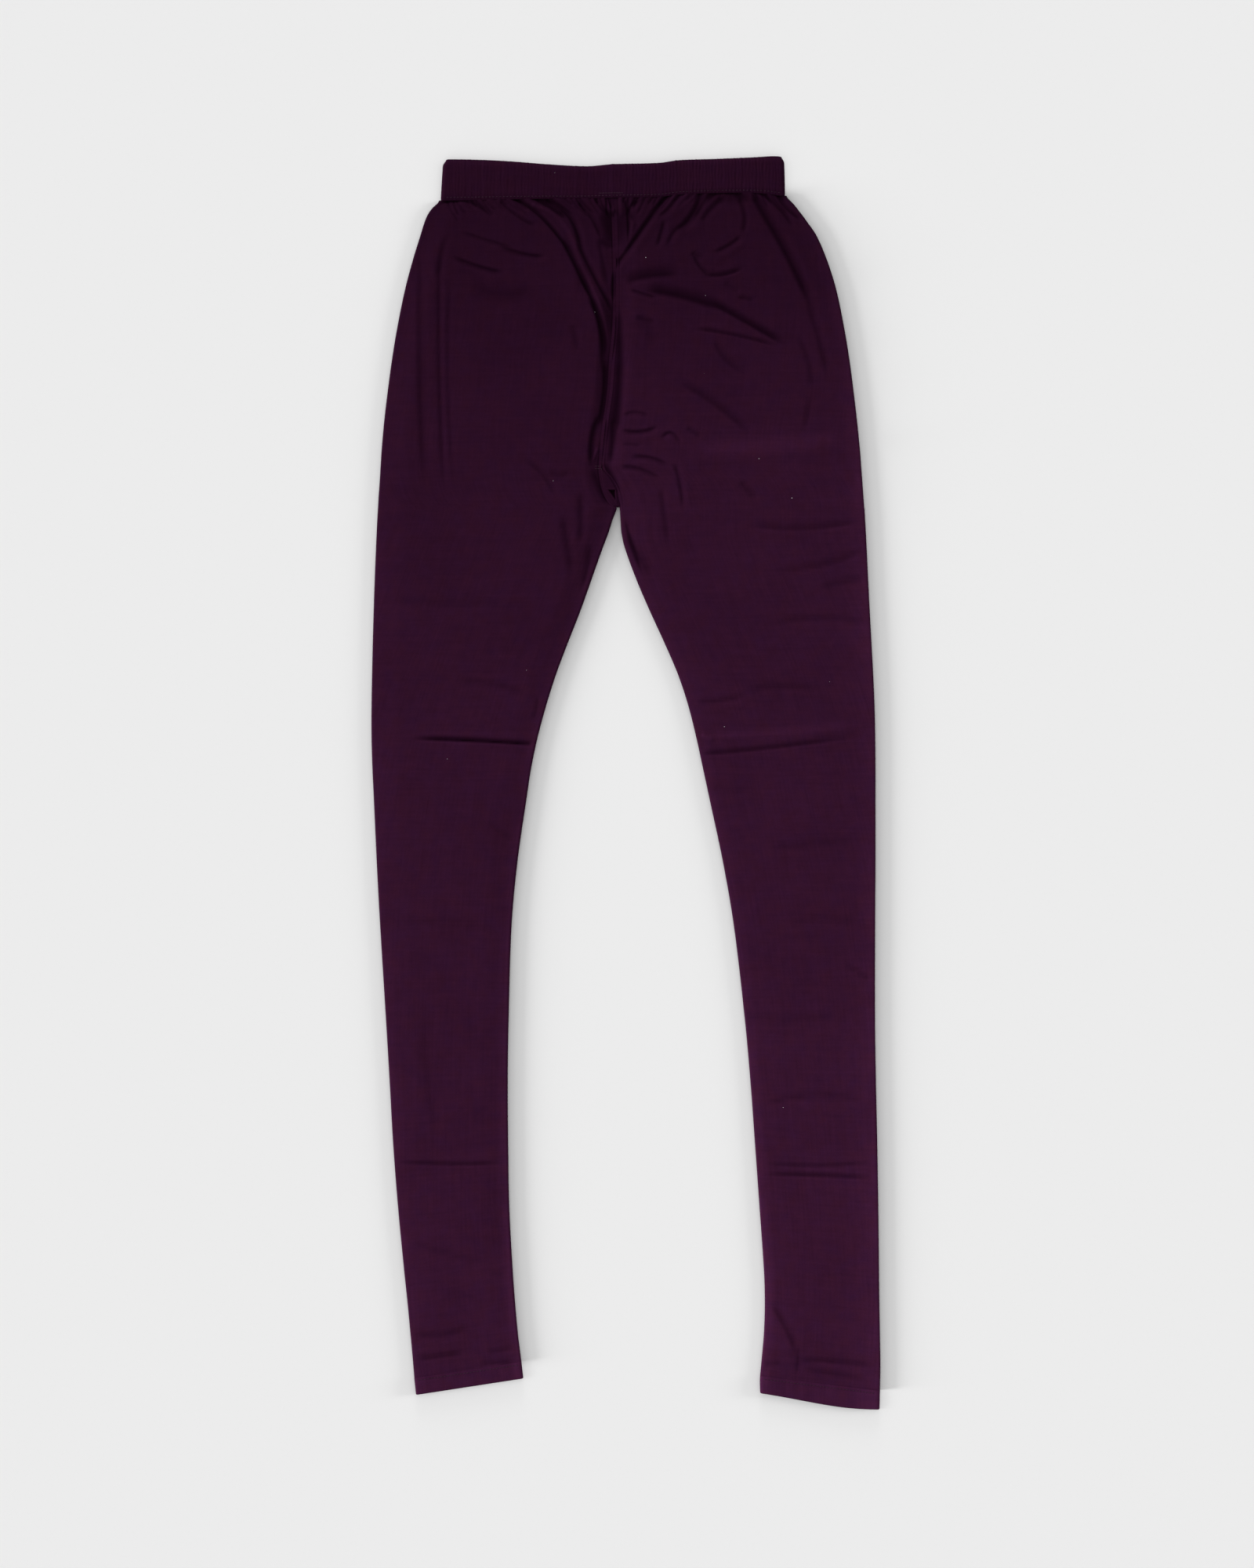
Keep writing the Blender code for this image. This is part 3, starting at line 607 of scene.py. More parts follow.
def make_sheet(name, place, shade, crease, ring=False, kept=1.0):
    """A finished sheet from a grid of x, down and height, with its UV map and two numbers a point."""
    points = world(*place)
    faces = grid_faces(*points.shape[:2], closed_across=ring, closed_down=ring)
    piece = new_piece(name, points.reshape(-1, 3), faces.tolist())
    mesh = piece.data
    lengths = cloth_lengths(points)
    corners = np.empty(len(mesh.loops), dtype=np.int64)
    mesh.loops.foreach_get("vertex_index", corners)
    cloth_place = np.stack([part.ravel() for part in lengths], axis=1)[corners]
    mesh.uv_layers.new(name="cloth").data.foreach_set("uv", cloth_place.ravel().astype(np.float32))
    for label, numbers in (("shade", shade), ("crease", crease)):
        numbers = np.broadcast_to(numbers, lengths[0].shape).ravel().astype(np.float32)
        mesh.attributes.new(label, "FLOAT", "POINT").data.foreach_set("value", numbers)
    recalculate_outwards(piece)
    if not ring:
        thicken(piece, CLOTH_WALL, kept)
    select_only(piece)
    bpy.ops.object.shade_smooth_by_angle(angle=RIM_ANGLE)
    print(name, "has", triangles(piece), "triangles")
    return piece


print("a cloth wall is", CLOTH_WALL, "mm")

# %% [markdown]
# ## The legs
# Seen in section a leg is a flattened tube: the front layer from the seam to the outer fold,
# the fold itself, and the back layer flat on the floor. Below the crotch the front's inner
# edge curls down to the inseam. Rows of points are closer at the top, where the folds are
# fine, and wider down the shins. The dye is painted lighter towards each edge, a painted
# highlight where the cloth turns over, and painted darker at the waist and lighter towards
# the ankles, as painted light.

# %% Sizes and dye of a leg
SEAM_TOP_HEIGHT, SEAM_LOW_HEIGHT = 5.4, 4.3
SEAM_SINKS_FROM, SEAM_SINKS_TO = 60.0, 280.0
FOLD_HEIGHT, FOLD_RISE = 3.8, 24.0
EDGE_QUIET = 5.0
CURL_STARTS, CURL_ENDS = 299.0, 318.0
DITCH_WIDTH, DITCH_DEPTH, DITCH_DARK = 0.9, 0.3, 1.0
CURL_LENGTH = FOLD_HEIGHT / 2 * pi / 2
LEAST_CURL = 0.001
LEAST_HEIGHT = 2.4
SLANT_STARTS, SLANT_ENDS = 700.0, 1072.0
LEG_TOP, BAND_FOLLOW_ENDS = 35.0, 60.0
CURL_STEPS, FRONT_STEPS, FOLD_STEPS, BACK_STEPS = 3, 140, 8, 5
LEG_FACES_KEPT = 0.55
FRONT_CROWDING = 1.3

STRETCHES = table(
    "ends rows",
    (340, 290),
    (505, 66),
    (530, 20),
    (875, 96),
    (905, 22),
    (1072, 66),
)
RIGHT_LEG, LEFT_LEG = table(
    "tone outer inner seam_rise line_outer line_inner end_outer end_inner hem_bow light_reach",
    ("right_leg", "left_outer", "left_inner", 12.0, 1072.4, 1058.0, 1087.2, 1072.7, 0.0, 13.0),
    ("left_leg", "right_outer", "right_inner", 17.0, 1083.6, 1070.4, 1100.0, 1085.7, 2.4, 34.0),
)

# A painted highlight: how much lighter each leg's two edges are painted, down the leg.
PAINTED_EDGE_HIGHLIGHTS = table(
    "down right_leg_outer right_leg_inner left_leg_inner left_leg_outer",
    (0, 0.05, 0.0, 0.0, 0.15),
    (205, 0.20, 0.0, 0.0, 0.55),
    (300, 0.20, 0.0, 0.0, 0.52),
    (360, 0.20, 0.10, 0.25, 0.46),
    (497, 0.18, 0.15, 0.36, 0.38),
    (771, 0.28, 0.24, 0.40, 0.34),
    (978, 0.25, 0.42, 0.62, 0.40),
    (1100, 0.25, 0.42, 0.62, 0.40),
)
INNER_LIGHT_REACH = 13.0

# Painted light: how light each leg is painted down its length, dark at the waist and light at the ankles,
# as a share of its lightest.
PAINTED_LIGHT_DOWN_LEGS = table(
    "down right_leg left_leg",
    (0, 0.30, 0.30),
    (45, 0.335, 0.335),
    (116, 0.44, 0.445),
    (205, 0.533, 0.60),
    (281, 0.59, 0.71),
    (419, 0.70, 0.785),
    (564, 0.79, 0.825),
    (702, 0.84, 0.87),
    (833, 0.87, 0.97),
    (971, 0.94, 1.03),
    (1040, 0.96, 0.99),
    (1100, 0.98, 1.0),
)
# Painted shade: the casing is painted dark all over, like the top of the legs.
CASING_TONE = 0.41
HEM_TONE = 1.18
print(sum(stretch.rows for stretch in STRETCHES), "rows of points down a leg")

# %% Shape of a leg
def row_places():
    """How far down each row of a leg's points lies."""
    places = [np.array([LEG_TOP])]
    for stretch in STRETCHES:
        start = places[-1][-1]
        places.append(np.linspace(start, stretch.ends, stretch.rows + 1)[1:])
    return np.concatenate(places)


def seam_height(down):
    """How high the front layer's edge stands along the centre seam and the gusset."""
    sunk = smooth_step((down - SEAM_SINKS_FROM) / (SEAM_SINKS_TO - SEAM_SINKS_FROM))
    return mix(SEAM_TOP_HEIGHT, SEAM_LOW_HEIGHT, sunk)


def front_height(leg, down, x, from_seam, from_fold):
    """The height of the front layer's outer face at points, and their depth in a crease."""
    full = curve_value(SECTIONS, "height", down)
    above_crotch = smooth_step((CURL_ENDS - down) / (CURL_ENDS - CURL_STARTS))
    inner = mix(FOLD_HEIGHT, seam_height(down), above_crotch)
    rise = mix(FOLD_RISE, leg.seam_rise, above_crotch)
    height = full - (full - FOLD_HEIGHT) * (1 - smooth_step(from_fold / FOLD_RISE))
    height -= (full - inner) * (1 - smooth_step(from_seam / rise))
    lift, crease = relief(x, down)
    quiet = smooth_step(from_fold / EDGE_QUIET)
    quiet = quiet * mix(smooth_step(from_seam / EDGE_QUIET), 1.0, above_crotch)
    # Painted shade in the seam's ditch, added to the crease number.
    ditch = soft_bump(from_seam / DITCH_WIDTH) * above_crotch
    height = height + lift * quiet - DITCH_DEPTH * ditch
    return np.maximum(height, LEAST_HEIGHT), crease * quiet + DITCH_DARK * ditch


def painted_edge_highlight(leg, down, distance, width):
    """The painted highlight towards a leg's two edges, as a factor on the dye."""
    inner = curve_value(PAINTED_EDGE_HIGHLIGHTS, leg.tone + "_inner", down)
    outer = curve_value(PAINTED_EDGE_HIGHLIGHTS, leg.tone + "_outer", down)
    light = 1 + inner * (1 - smooth_step(distance / INNER_LIGHT_REACH))
    return light + outer * (1 - smooth_step((width - distance) / leg.light_reach))


def leg_edges(leg, inner_down, outer_down):
    """Where a leg's two edges are across the garment."""
    inner_x = curve_value(SECTIONS, leg.inner, inner_down)
    return inner_x, curve_value(SECTIONS, leg.outer, outer_down)


def straight_seam(x):
    """How far down the band's seam lies on the back, where it runs straight."""
    first, last = BAND[0], BAND[-1]
    return mix(first.seam, last.seam, (x - first.across) / (last.across - first.across))


def band_seam_down(x, height):
    """How far down the band's seam lies, on the front layer or on the back."""
    return np.where(height > FOLD_HEIGHT / 2, curve_value(BAND, "seam", x), straight_seam(x))


def leg_points(leg):
    """A leg's outer face as a grid of x, down and height, and each point's crease depth."""
    down = row_places()[:, None]
    slant = smooth_step((down - SLANT_STARTS) / (SLANT_ENDS - SLANT_STARTS))
    inner_down = down + slant * (leg.line_inner - SLANT_ENDS)
    outer_down = down + slant * (leg.line_outer - SLANT_ENDS)
    inner_x, outer_x = leg_edges(leg, inner_down, outer_down)
    width = np.hypot(outer_x - inner_x, outer_down - inner_down)
    curl = np.maximum(smooth_step((down - CURL_STARTS) / (CURL_ENDS - CURL_STARTS)) * pi / 2, LEAST_CURL)
    reach = CURL_LENGTH * np.sin(curl) / curl
    radius = FOLD_HEIGHT / 2

    def place(distance):
        share = distance / width
        return mix(inner_x, outer_x, share), mix(inner_down, outer_down, share)

    edge_x, edge_down = place(reach)
    edge_height, _ = front_height(leg, edge_down, edge_x, reach * 0, width)
    turned = curl * (1 - np.arange(CURL_STEPS) / CURL_STEPS)
    curl_distance = reach - CURL_LENGTH * np.sin(turned) / curl
    curl_drop = CURL_LENGTH * (1 - np.cos(turned)) / curl

    share = np.linspace(0, 1, FRONT_STEPS + 1) ** FRONT_CROWDING
    front_distance = mix(reach, width - radius, share)
    front_x, front_down = place(front_distance)
    front, crease = front_height(
        leg, front_down, front_x, front_distance - reach, width - radius - front_distance
    )
    angle = pi / 2 - pi * np.arange(1, FOLD_STEPS) / FOLD_STEPS
    fold_distance = width - radius + radius * np.cos(angle)
    back_distance = mix(width - radius, reach, np.linspace(0, 1, BACK_STEPS + 1))
    rows = len(down)
    fold_rise = np.broadcast_to(radius * (1 + np.sin(angle)), (rows, FOLD_STEPS - 1))
    distance = np.hstack(
        [curl_distance, front_distance, fold_distance, back_distance, curl_distance[:, ::-1]]
    )
    height = np.hstack(
        [edge_height - curl_drop, front, fold_rise, back_distance * 0, curl_drop[:, ::-1]]
    )
    creases = np.zeros(height.shape)
    creases[:, CURL_STEPS : CURL_STEPS + FRONT_STEPS + 1] = crease
    # Painted highlights towards the leg's two edges.
    light = painted_edge_highlight(leg, down, distance, width)
    x, point_down = place(distance)
    follow = smooth_step((BAND_FOLLOW_ENDS - down) / (BAND_FOLLOW_ENDS - LEG_TOP))
    point_down = point_down + (band_seam_down(x, height) - LEG_TOP) * follow
    return x, point_down, height, creases, light


def build_leg(name, leg):
    """One leg's sheet with its wall."""
    x, down, height, crease, light = leg_points(leg)
    # Painted light down the leg, times the painted highlights at its edges.
    shade = curve_value(PAINTED_LIGHT_DOWN_LEGS, leg.tone, down) * light
    return make_sheet(name, (x, down, height), shade, crease, kept=LEG_FACES_KEPT)


right_leg = build_leg("right_leg_cloth", RIGHT_LEG)
left_leg = build_leg("left_leg_cloth", LEFT_LEG)

# %% [markdown]
# ## The crotch gusset
# A small diamond of cloth joins the inseams and is folded in two under the crotch. Its front
# half sits low in the valley, and the seams pull it into a little hollow with three sharp
# sides. It is a grid again: down the front, round its fold, and up the back.

# %% Gusset
GUSSET_TUCK, GUSSET_TUCK_DROP = 0.9, 0.8
GUSSET_TOP, GUSSET_FOLD = 273.5, 305.0
GUSSET_ACROSS, GUSSET_DOWN, GUSSET_ROUND, GUSSET_BACK = 44, 90, 8, 24
HOLLOW = table("x down", (-15.6, 291.8), (-9.2, 291.8), (-8.8, 301.2))
HOLLOW_DEPTH, HOLLOW_SLOPE = 2.6, 1.0
HOLLOW_RIM, HOLLOW_RIM_WIDTH = 0.45, 1.1
# Painted shade: the gusset is painted darker, as in the valley's shade, and its hollow darker still.
GUSSET_SHADE, HOLLOW_SHADE, HOLLOW_CREASE = 0.7, 0.75, 2.0


def inside_hollow(x, down):
    """How far points are inside the hollow's three sides, in millimetres."""
    least = np.full(x.shape, np.inf)
    for start, end in zip(HOLLOW, HOLLOW[1:] + HOLLOW[:1]):
        way = np.array([end.x - start.x, end.down - start.down])
        way = way / np.hypot(*way)
        least = np.minimum(least, way[0] * (down - start.down) - way[1] * (x - start.x))
    return least


def build_gusset():
    """The gusset's sheet, its hollow and its wall."""
    front = np.linspace(GUSSET_TOP, GUSSET_FOLD, GUSSET_DOWN + 1)
    radius = float(seam_height(GUSSET_FOLD)) / 2
    angle = pi / 2 - pi * np.arange(1, GUSSET_ROUND) / GUSSET_ROUND
    back = np.linspace(GUSSET_FOLD, GUSSET_TOP, GUSSET_BACK + 1)
    path_down = np.concatenate([front, GUSSET_FOLD + radius * np.cos(angle), back])[:, None]
    rise = radius * (1 + np.sin(angle))
    path_height = np.concatenate([seam_height(front), rise, back * 0])[:, None]
    edge_down = np.minimum(path_down, GUSSET_FOLD)
    seam_left, seam_right = (curve_value(SECTIONS, leg.inner, edge_down) for leg in (RIGHT_LEG, LEFT_LEG))
    is_front = np.arange(len(path_down))[:, None] <= GUSSET_DOWN
    tuck = GUSSET_TUCK * is_front
    x = mix(seam_left - tuck, seam_right + tuck, np.linspace(0, 1, GUSSET_ACROSS + 1))
    down = np.broadcast_to(path_down, x.shape)
    from_seam = np.minimum(x - seam_left, seam_right - x)
    dropped = GUSSET_TUCK_DROP * (1 - smooth_step((from_seam + GUSSET_TUCK) / (2 * GUSSET_TUCK)))
    height = path_height - dropped * is_front
    depth_in = inside_hollow(x, down)
    sunk = smooth_step(depth_in / HOLLOW_SLOPE) * is_front
    rim = soft_bump((depth_in + HOLLOW_RIM_WIDTH / 2) / HOLLOW_RIM_WIDTH) * is_front
    height += HOLLOW_RIM * rim - HOLLOW_DEPTH * sunk
    # Painted shade on the gusset and in its hollow, on top of the painted light down the leg.
    shade = GUSSET_SHADE * curve_value(PAINTED_LIGHT_DOWN_LEGS, "right_leg", down) * (1 - HOLLOW_SHADE * sunk)
    return make_sheet("gusset_cloth", (x, down, height), shade, sunk * HOLLOW_CREASE)


gusset = build_gusset()

# %% [markdown]
# ## The waistband
# The casing is a tube of the same knit with elastic inside. The elastic has drawn it in, so
# its face has fine gathers that come and go, a little stronger on the right half. It is made
# as a loft: a cross-section of the flattened ring, taken round the casing's own wall from the
# seam up the outside, over the folded top edge and down the inside. The hems are lofted in the
# same way, so the ring, its wall and the loft are functions of their own.

# %% Helpers for a flattened ring
def ring_places(face_steps, fold_steps, back_steps):
    """The way round a flattened ring: each point's side, 0 to 3, and its share of that side."""
    sides = enumerate((face_steps, fold_steps, back_steps, fold_steps))
    places = [(side, step / steps) for side, steps in sides for step in range(steps)]
    return np.array(places).T


def ring_section(places, left, right, top, bottom):
    """A flattened ring in section: upper face, right fold, lower face, left fold."""
    side, share = places
    radius = (top - bottom) / 2
    near, far, middle = left + radius, right - radius, bottom + radius
    swing, rise = radius * np.sin(pi * share), radius * np.cos(pi * share)
    sides = [side == 0, side == 1, side == 2]
    across = np.select(sides, [mix(near, far, share), far + swing, mix(far, near, share)], near - swing)
    flat = np.zeros(share.shape)
    return across, np.select(sides, [flat + top, middle + rise, flat + bottom], middle - rise)


def wall_path(steps, edge_steps, wall, end_bulge, start_bulge=None):
    """The way round a ring's wall: each place's share along it, and its depth behind the face."""
    angle = np.linspace(0, pi, edge_steps + 1)[1:-1]
    path = [(share, 0.0) for share in np.linspace(0, 1, steps + 1)]
    path += [(1 + end_bulge * sin(a), wall * (1 - cos(a)) / 2) for a in angle]
    path += [(share, wall) for share in (1.0, 0.5, 0.0)]
    if start_bulge:
        path += [(-start_bulge * sin(a), wall * (1 + cos(a)) / 2) for a in angle]
    return path


def loft_ring(name, path, row):
    """A closed loft, with a row of x, down, height, shade and crease for each place on the path."""
    x, down, height, shade, crease = (np.array(part) for part in zip(*(row(*place) for place in path)))
    return make_sheet(name, (x, down, height), shade, crease, ring=True)


print("a ring's points go round four sides")

# %% Waistband
RINGS = table(
    "up left right height gather",
    (0.00, -162.6, 139.8, 5.9, 1.0),
    (0.09, -162.6, 139.9, 6.6, 0.9),
    (0.30, -162.2, 139.8, 6.8, 0.8),
    (0.50, -161.8, 139.7, 6.8, 0.8),
    (0.75, -161.2, 139.4, 6.8, 0.8),
    (0.91, -160.6, 139.0, 6.6, 0.9),
    (1.00, -158.4, 137.2, 5.9, 1.0),
)
CASING_WALL, CASING_LEAST_HOLLOW = 2.5, 0.3
CASING_END_BULGE, CASING_START_BULGE = 0.035, 0.02
CASING_RISE_STEPS, CASING_EDGE_STEPS = 26, 6
CASING_FRONT_STEPS, CASING_FOLD_STEPS, CASING_BACK_STEPS = 560, 8, 60
RIB_PITCH, RIB_HEIGHT, RIB_SHADE_FROM = 6.2, 0.27, 0.18
RIB_EDGE, RIB_FADE = 2.0, 6.0
SCALLOP, SCALLOP_STARTS = 0.35, 0.85
FINE_PITCH, FINE_HEIGHT = 2.9, 0.16
FINE_LEFT_SHARE, FINE_GROWS_FROM, FINE_GROWS_OVER = 0.55, -20, 60
RIB_FAINTEST, RIB_CLEAREST = 0.3, 1.2
JOIN_X, JOIN_WIDTH, JOIN_DITCH_WIDTH, JOIN_HEIGHT = -10.7, 3.2, 0.8, 0.4
STITCH_LINE_UP, STITCH_LINE_WIDTH, STITCH_LINE_DEPTH = 0.06, 0.035, 0.4
FAINT_LINE_SHARE, CLEAR_LINE_STARTS, CLEAR_LINE_ENDS = 0.25, 36.0, 52.0
TOP_EDGE_LIGHT, TOP_EDGE_STARTS = 0.14, 0.8


def casing_ribs(x, up):
    """The height of the casing's gathers: waves whose lengths don't fit each other, so none repeats."""
    sway = 0.9 * np.sin(x / 23.0 + 1.0) + 0.5 * np.sin(x / 9.1) + 0.35 * np.sin(7 * up + x / 5.7)
    main = 0.5 + 0.5 * np.cos(2 * pi * (x + sway) / RIB_PITCH)
    swell = 0.65 + 0.35 * np.sin(x / 7.9 + 0.6) * np.sin(x / 3.1 + 2.0)
    fine_share = mix(FINE_LEFT_SHARE, 1.0, smooth_step((x - FINE_GROWS_FROM) / FINE_GROWS_OVER))
    fine = np.cos(2 * pi * (x + 0.4 * np.sin(9 * up + x / 2.3)) / FINE_PITCH + 1.3 * np.sin(x / 11.0))
    broken = 0.5 + 0.5 * np.sin(3.4 * up + x / 4.3) * np.sin(5.7 * up - x / 9.7)
    ribs = RIB_HEIGHT * main * swell + FINE_HEIGHT * fine * fine_share
    join = soft_bump((x - JOIN_X) / JOIN_WIDTH) - sharp_bump((x - JOIN_X) / JOIN_DITCH_WIDTH)
    return ribs * mix(RIB_FAINTEST, RIB_CLEAREST, broken) + JOIN_HEIGHT * join


def casing_row(up, depth):
    """One turn round the casing, at a share of its height and a depth in its wall."""
    places = ring_places(CASING_FRONT_STEPS, CASING_FOLD_STEPS, CASING_BACK_STEPS)
    upper = places[0] == 0
    top, left, right, gather = (
        float(curve_value(RINGS, column, min(max(up, 0.0), 1.0)))
        for column in ("height", "left", "right", "gather")
    )
    top, left, right = top - depth, left + depth, right - depth
    if depth > CASING_WALL / 2:
        top = max(top, CASING_WALL + CASING_LEAST_HOLLOW)
    x, height = ring_section(places, left, right, top, depth)
    outside = max(0.0, 1 - 2 * depth / CASING_WALL)
    gather *= outside
    edge = smooth_step((x - left - RIB_EDGE) / RIB_FADE) * smooth_step((right - RIB_EDGE - x) / RIB_FADE)
    ribs = casing_ribs(x, up) * gather * edge * upper
    clear = smooth_step((x - CLEAR_LINE_STARTS) / (CLEAR_LINE_ENDS - CLEAR_LINE_STARTS))
    groove = float(sharp_bump((up - STITCH_LINE_UP) / STITCH_LINE_WIDTH)) * outside * upper
    groove = groove * mix(FAINT_LINE_SHARE, 1.0, clear)
    height = height + ribs - STITCH_LINE_DEPTH * groove
    down = mix(band_seam_down(x, height), curve_value(BAND, "top", x), up)
    scallop = SCALLOP * ribs / RIB_HEIGHT * smooth_step((up - SCALLOP_STARTS) / (1 - SCALLOP_STARTS))
    # A painted highlight along the folded top edge, on the casing's painted shade.
    top_light = TOP_EDGE_LIGHT * smooth_step((up - TOP_EDGE_STARTS) / (1 - TOP_EDGE_STARTS))
    shade = np.full(x.shape, CASING_TONE * (1 + top_light))
    # Painted shade between the gathers and in the stitch groove.
    crease = np.maximum(RIB_SHADE_FROM * gather - ribs, 0) * upper + groove
    return x, down - scallop, height, shade, crease


casing_path = wall_path(
    CASING_RISE_STEPS, CASING_EDGE_STEPS, CASING_WALL, CASING_END_BULGE, CASING_START_BULGE
)
waistband = loft_ring("waistband_casing", casing_path, casing_row)

# %% [markdown]
# ## The ankle hems
# The ankle's edge is turned up once inside and sewn round, so the hem is two layers thick and
# its lower edge is a soft round fold. The same kind of loft makes it: the flattened ring, taken
# round its own wall. A shallow groove marks the stitch line near its upper edge.

# %% Hems
HEM_HEIGHT, HEM_WALL = 5.2, 1.9
HEM_FACE_STEPS, HEM_FOLD_STEPS, HEM_RISE_STEPS, HEM_EDGE_STEPS = 80, 10, 16, 8
HEM_GROOVE_AT, HEM_GROOVE_WIDTH, HEM_GROOVE_DEPTH = 0.15, 0.09, 0.22
# Painted shade in the stitch groove.
HEM_GROOVE_DARK = 0.5
HEM_TOP_EASE, HEM_TOP_DROP = 0.12, 0.2
HEM_BOW_LEAN = 1.6
HEM_PULL, HEM_FINE_PULL = 0.18, 0.12
HEM_FACE_FADE, HEM_FOLD_ROOM, HEM_END_BULGE = 0.06, 0.75, 0.05


def build_hem(name, leg):
    """One turned-up band."""
    places = ring_places(HEM_FACE_STEPS, HEM_FOLD_STEPS, HEM_FACE_STEPS // 2)
    side, place = places
    face = (side == 0) * smooth_step(place / HEM_FACE_FADE) * smooth_step((1 - place) / HEM_FACE_FADE)

    def hem_row(share_down, depth):
        inner_down = mix(leg.line_inner, leg.end_inner - HEM_FOLD_ROOM, share_down)
        outer_down = mix(leg.line_outer, leg.end_outer - HEM_FOLD_ROOM, share_down)
        inner_x, outer_x = leg_edges(leg, inner_down, outer_down)
        width = abs(outer_x - inner_x)
        distance, height = ring_section(places, depth, width - depth, HEM_HEIGHT - depth, depth)
        share = distance / width
        x = mix(inner_x, outer_x, share)
        bow = leg.hem_bow * np.sin(pi * share**HEM_BOW_LEAN) * share_down
        down = mix(inner_down, outer_down, share) + bow
        outside = max(0.0, 1 - 2 * depth / HEM_WALL)
        pull = HEM_PULL * np.sin(x / 3.1 + 1.0) * np.sin(x / 7.7) + HEM_FINE_PULL * np.sin(x / 1.9)
        groove = float(sharp_bump((share_down - HEM_GROOVE_AT) / HEM_GROOVE_WIDTH)) * outside
        groove = groove * (0.5 + 0.5 * np.sin(x / 6.3) * np.sin(x / 2.9 + 1.0))
        ease = HEM_TOP_DROP * (1 - smooth_step(share_down / HEM_TOP_EASE))
        height = height + face * outside * (pull * (1 - share_down) - HEM_GROOVE_DEPTH * groove - ease)
        # Painted light down the leg and painted highlights at its edges; painted shade in the stitch
        # groove.
        light = painted_edge_highlight(leg, down, distance, width)
        shade = curve_value(PAINTED_LIGHT_DOWN_LEGS, leg.tone, down) * light * HEM_TONE
        return x, down, height, shade, groove * face * HEM_GROOVE_DARK

    return loft_ring(name, wall_path(HEM_RISE_STEPS, HEM_EDGE_STEPS, HEM_WALL, HEM_END_BULGE), hem_row)


right_hem = build_hem("right_hem_cloth", RIGHT_LEG)
left_hem = build_hem("left_hem_cloth", LEFT_LEG)

# %% [markdown]
# ## Stitches
# A stitch is a short bead of thread whose two ends dive into the cloth. One is modelled from a
# cylinder: its end faces are extruded, shrunk and pushed down. It is then copied along each
# sewn line, where a ray dropped on the cloth says how high it lies.

# %% One stitch
STITCH_LENGTH, STITCH_RADIUS, STITCH_DIP, STITCH_END_SIZE = 1.5, 0.23, 0.35, 0.55
FACES_END = 0.9


def take_model(piece):
    """A small model as arrays of points and faces. Its object goes."""
    points = np.array([point.co for point in piece.data.vertices])
    faces = [list(face.vertices) for face in piece.data.polygons]
    bpy.data.objects.remove(piece, do_unlink=True)
    return points, faces


def model_stitch():
    """A stitch along X, centred on the origin, as arrays of points and faces."""
    select_only()
    bpy.ops.mesh.primitive_cylinder_add(
        vertices=6,
        radius=STITCH_RADIUS * MM,
        depth=STITCH_LENGTH * MM,
        rotation=(0, pi / 2, 0),
    )
    stitch = bpy.context.object
    bpy.ops.object.transform_apply(location=False, rotation=True, scale=False)
    for side in (-1, 1):
        bpy.ops.object.mode_set(mode="EDIT")
        bpy.ops.mesh.select_mode(type="FACE")
        bpy.ops.mesh.select_all(action="DESELECT")
        bpy.ops.object.mode_set(mode="OBJECT")
        for face in stitch.data.polygons:
            face.select = face.normal.x * side > FACES_END
        bpy.ops.object.mode_set(mode="EDIT")
        bpy.ops.mesh.extrude_region_move(
            TRANSFORM_OT_translate={"value": (side * STITCH_DIP * MM, 0, -STITCH_DIP * MM)}
        )
        bpy.ops.transform.resize(value=(1, STITCH_END_SIZE, STITCH_END_SIZE))
        bpy.ops.object.mode_set(mode="OBJECT")
    return take_model(stitch)


stitch_points, stitch_faces = model_stitch()
print("one stitch has", len(stitch_faces), "faces")

# %% Sewing along a line
Seat = namedtuple("Seat", "place way normal")
DROP_HEIGHT = 40.0
AHEAD, TINY = 0.5, 1e-6
CLOTHS = (right_leg, left_leg, gusset, waistband, right_hem, left_hem)
cloth_trees = []
for cloth in CLOTHS:
    places = [point.co.copy() for point in cloth.data.vertices]
    cloth_trees.append(BVHTree.FromPolygons(places, [face.vertices[:] for face in cloth.data.polygons]))


def seat_on_cloth(x, down, way_x, way_down):
    """Where a small thing lies on the cloth at a drawn point, turned along a drawn way."""
    above = Vector(world(x, down, DROP_HEIGHT))
    found = [tree.ray_cast(above, Vector((0, 0, -1))) for tree in cloth_trees]
    hits = [(hit[0].z, hit[0], hit[1]) for hit in found if hit[0] is not None]
    if not hits:
        return None
    _, place, normal = max(hits, key=lambda hit: hit[0])
    normal = normal if normal.z > 0 else -normal
    way = Vector((way_x, -way_down, 0)).normalized()
    way = (way - normal * way.dot(normal)).normalized()
    return Seat(place, way, normal)


def copies_on(name, points, faces, seats, sizes=None):
    """One mesh with a copy of a small model at every seat."""
    all_points, all_faces = [], []
    for index, seat in enumerate(seats):
        axes = np.array([seat.way, seat.normal.cross(seat.way), seat.normal])
        size = sizes[index] if sizes else 1.0
        all_points.append(points * size @ axes + np.array(seat.place))
        all_faces += [[corner + len(points) * index for corner in face] for face in faces]
    piece = new_piece(name, np.concatenate(all_points), all_faces)
    print(name, "has", len(seats), "copies and", triangles(piece), "triangles")
    return piece


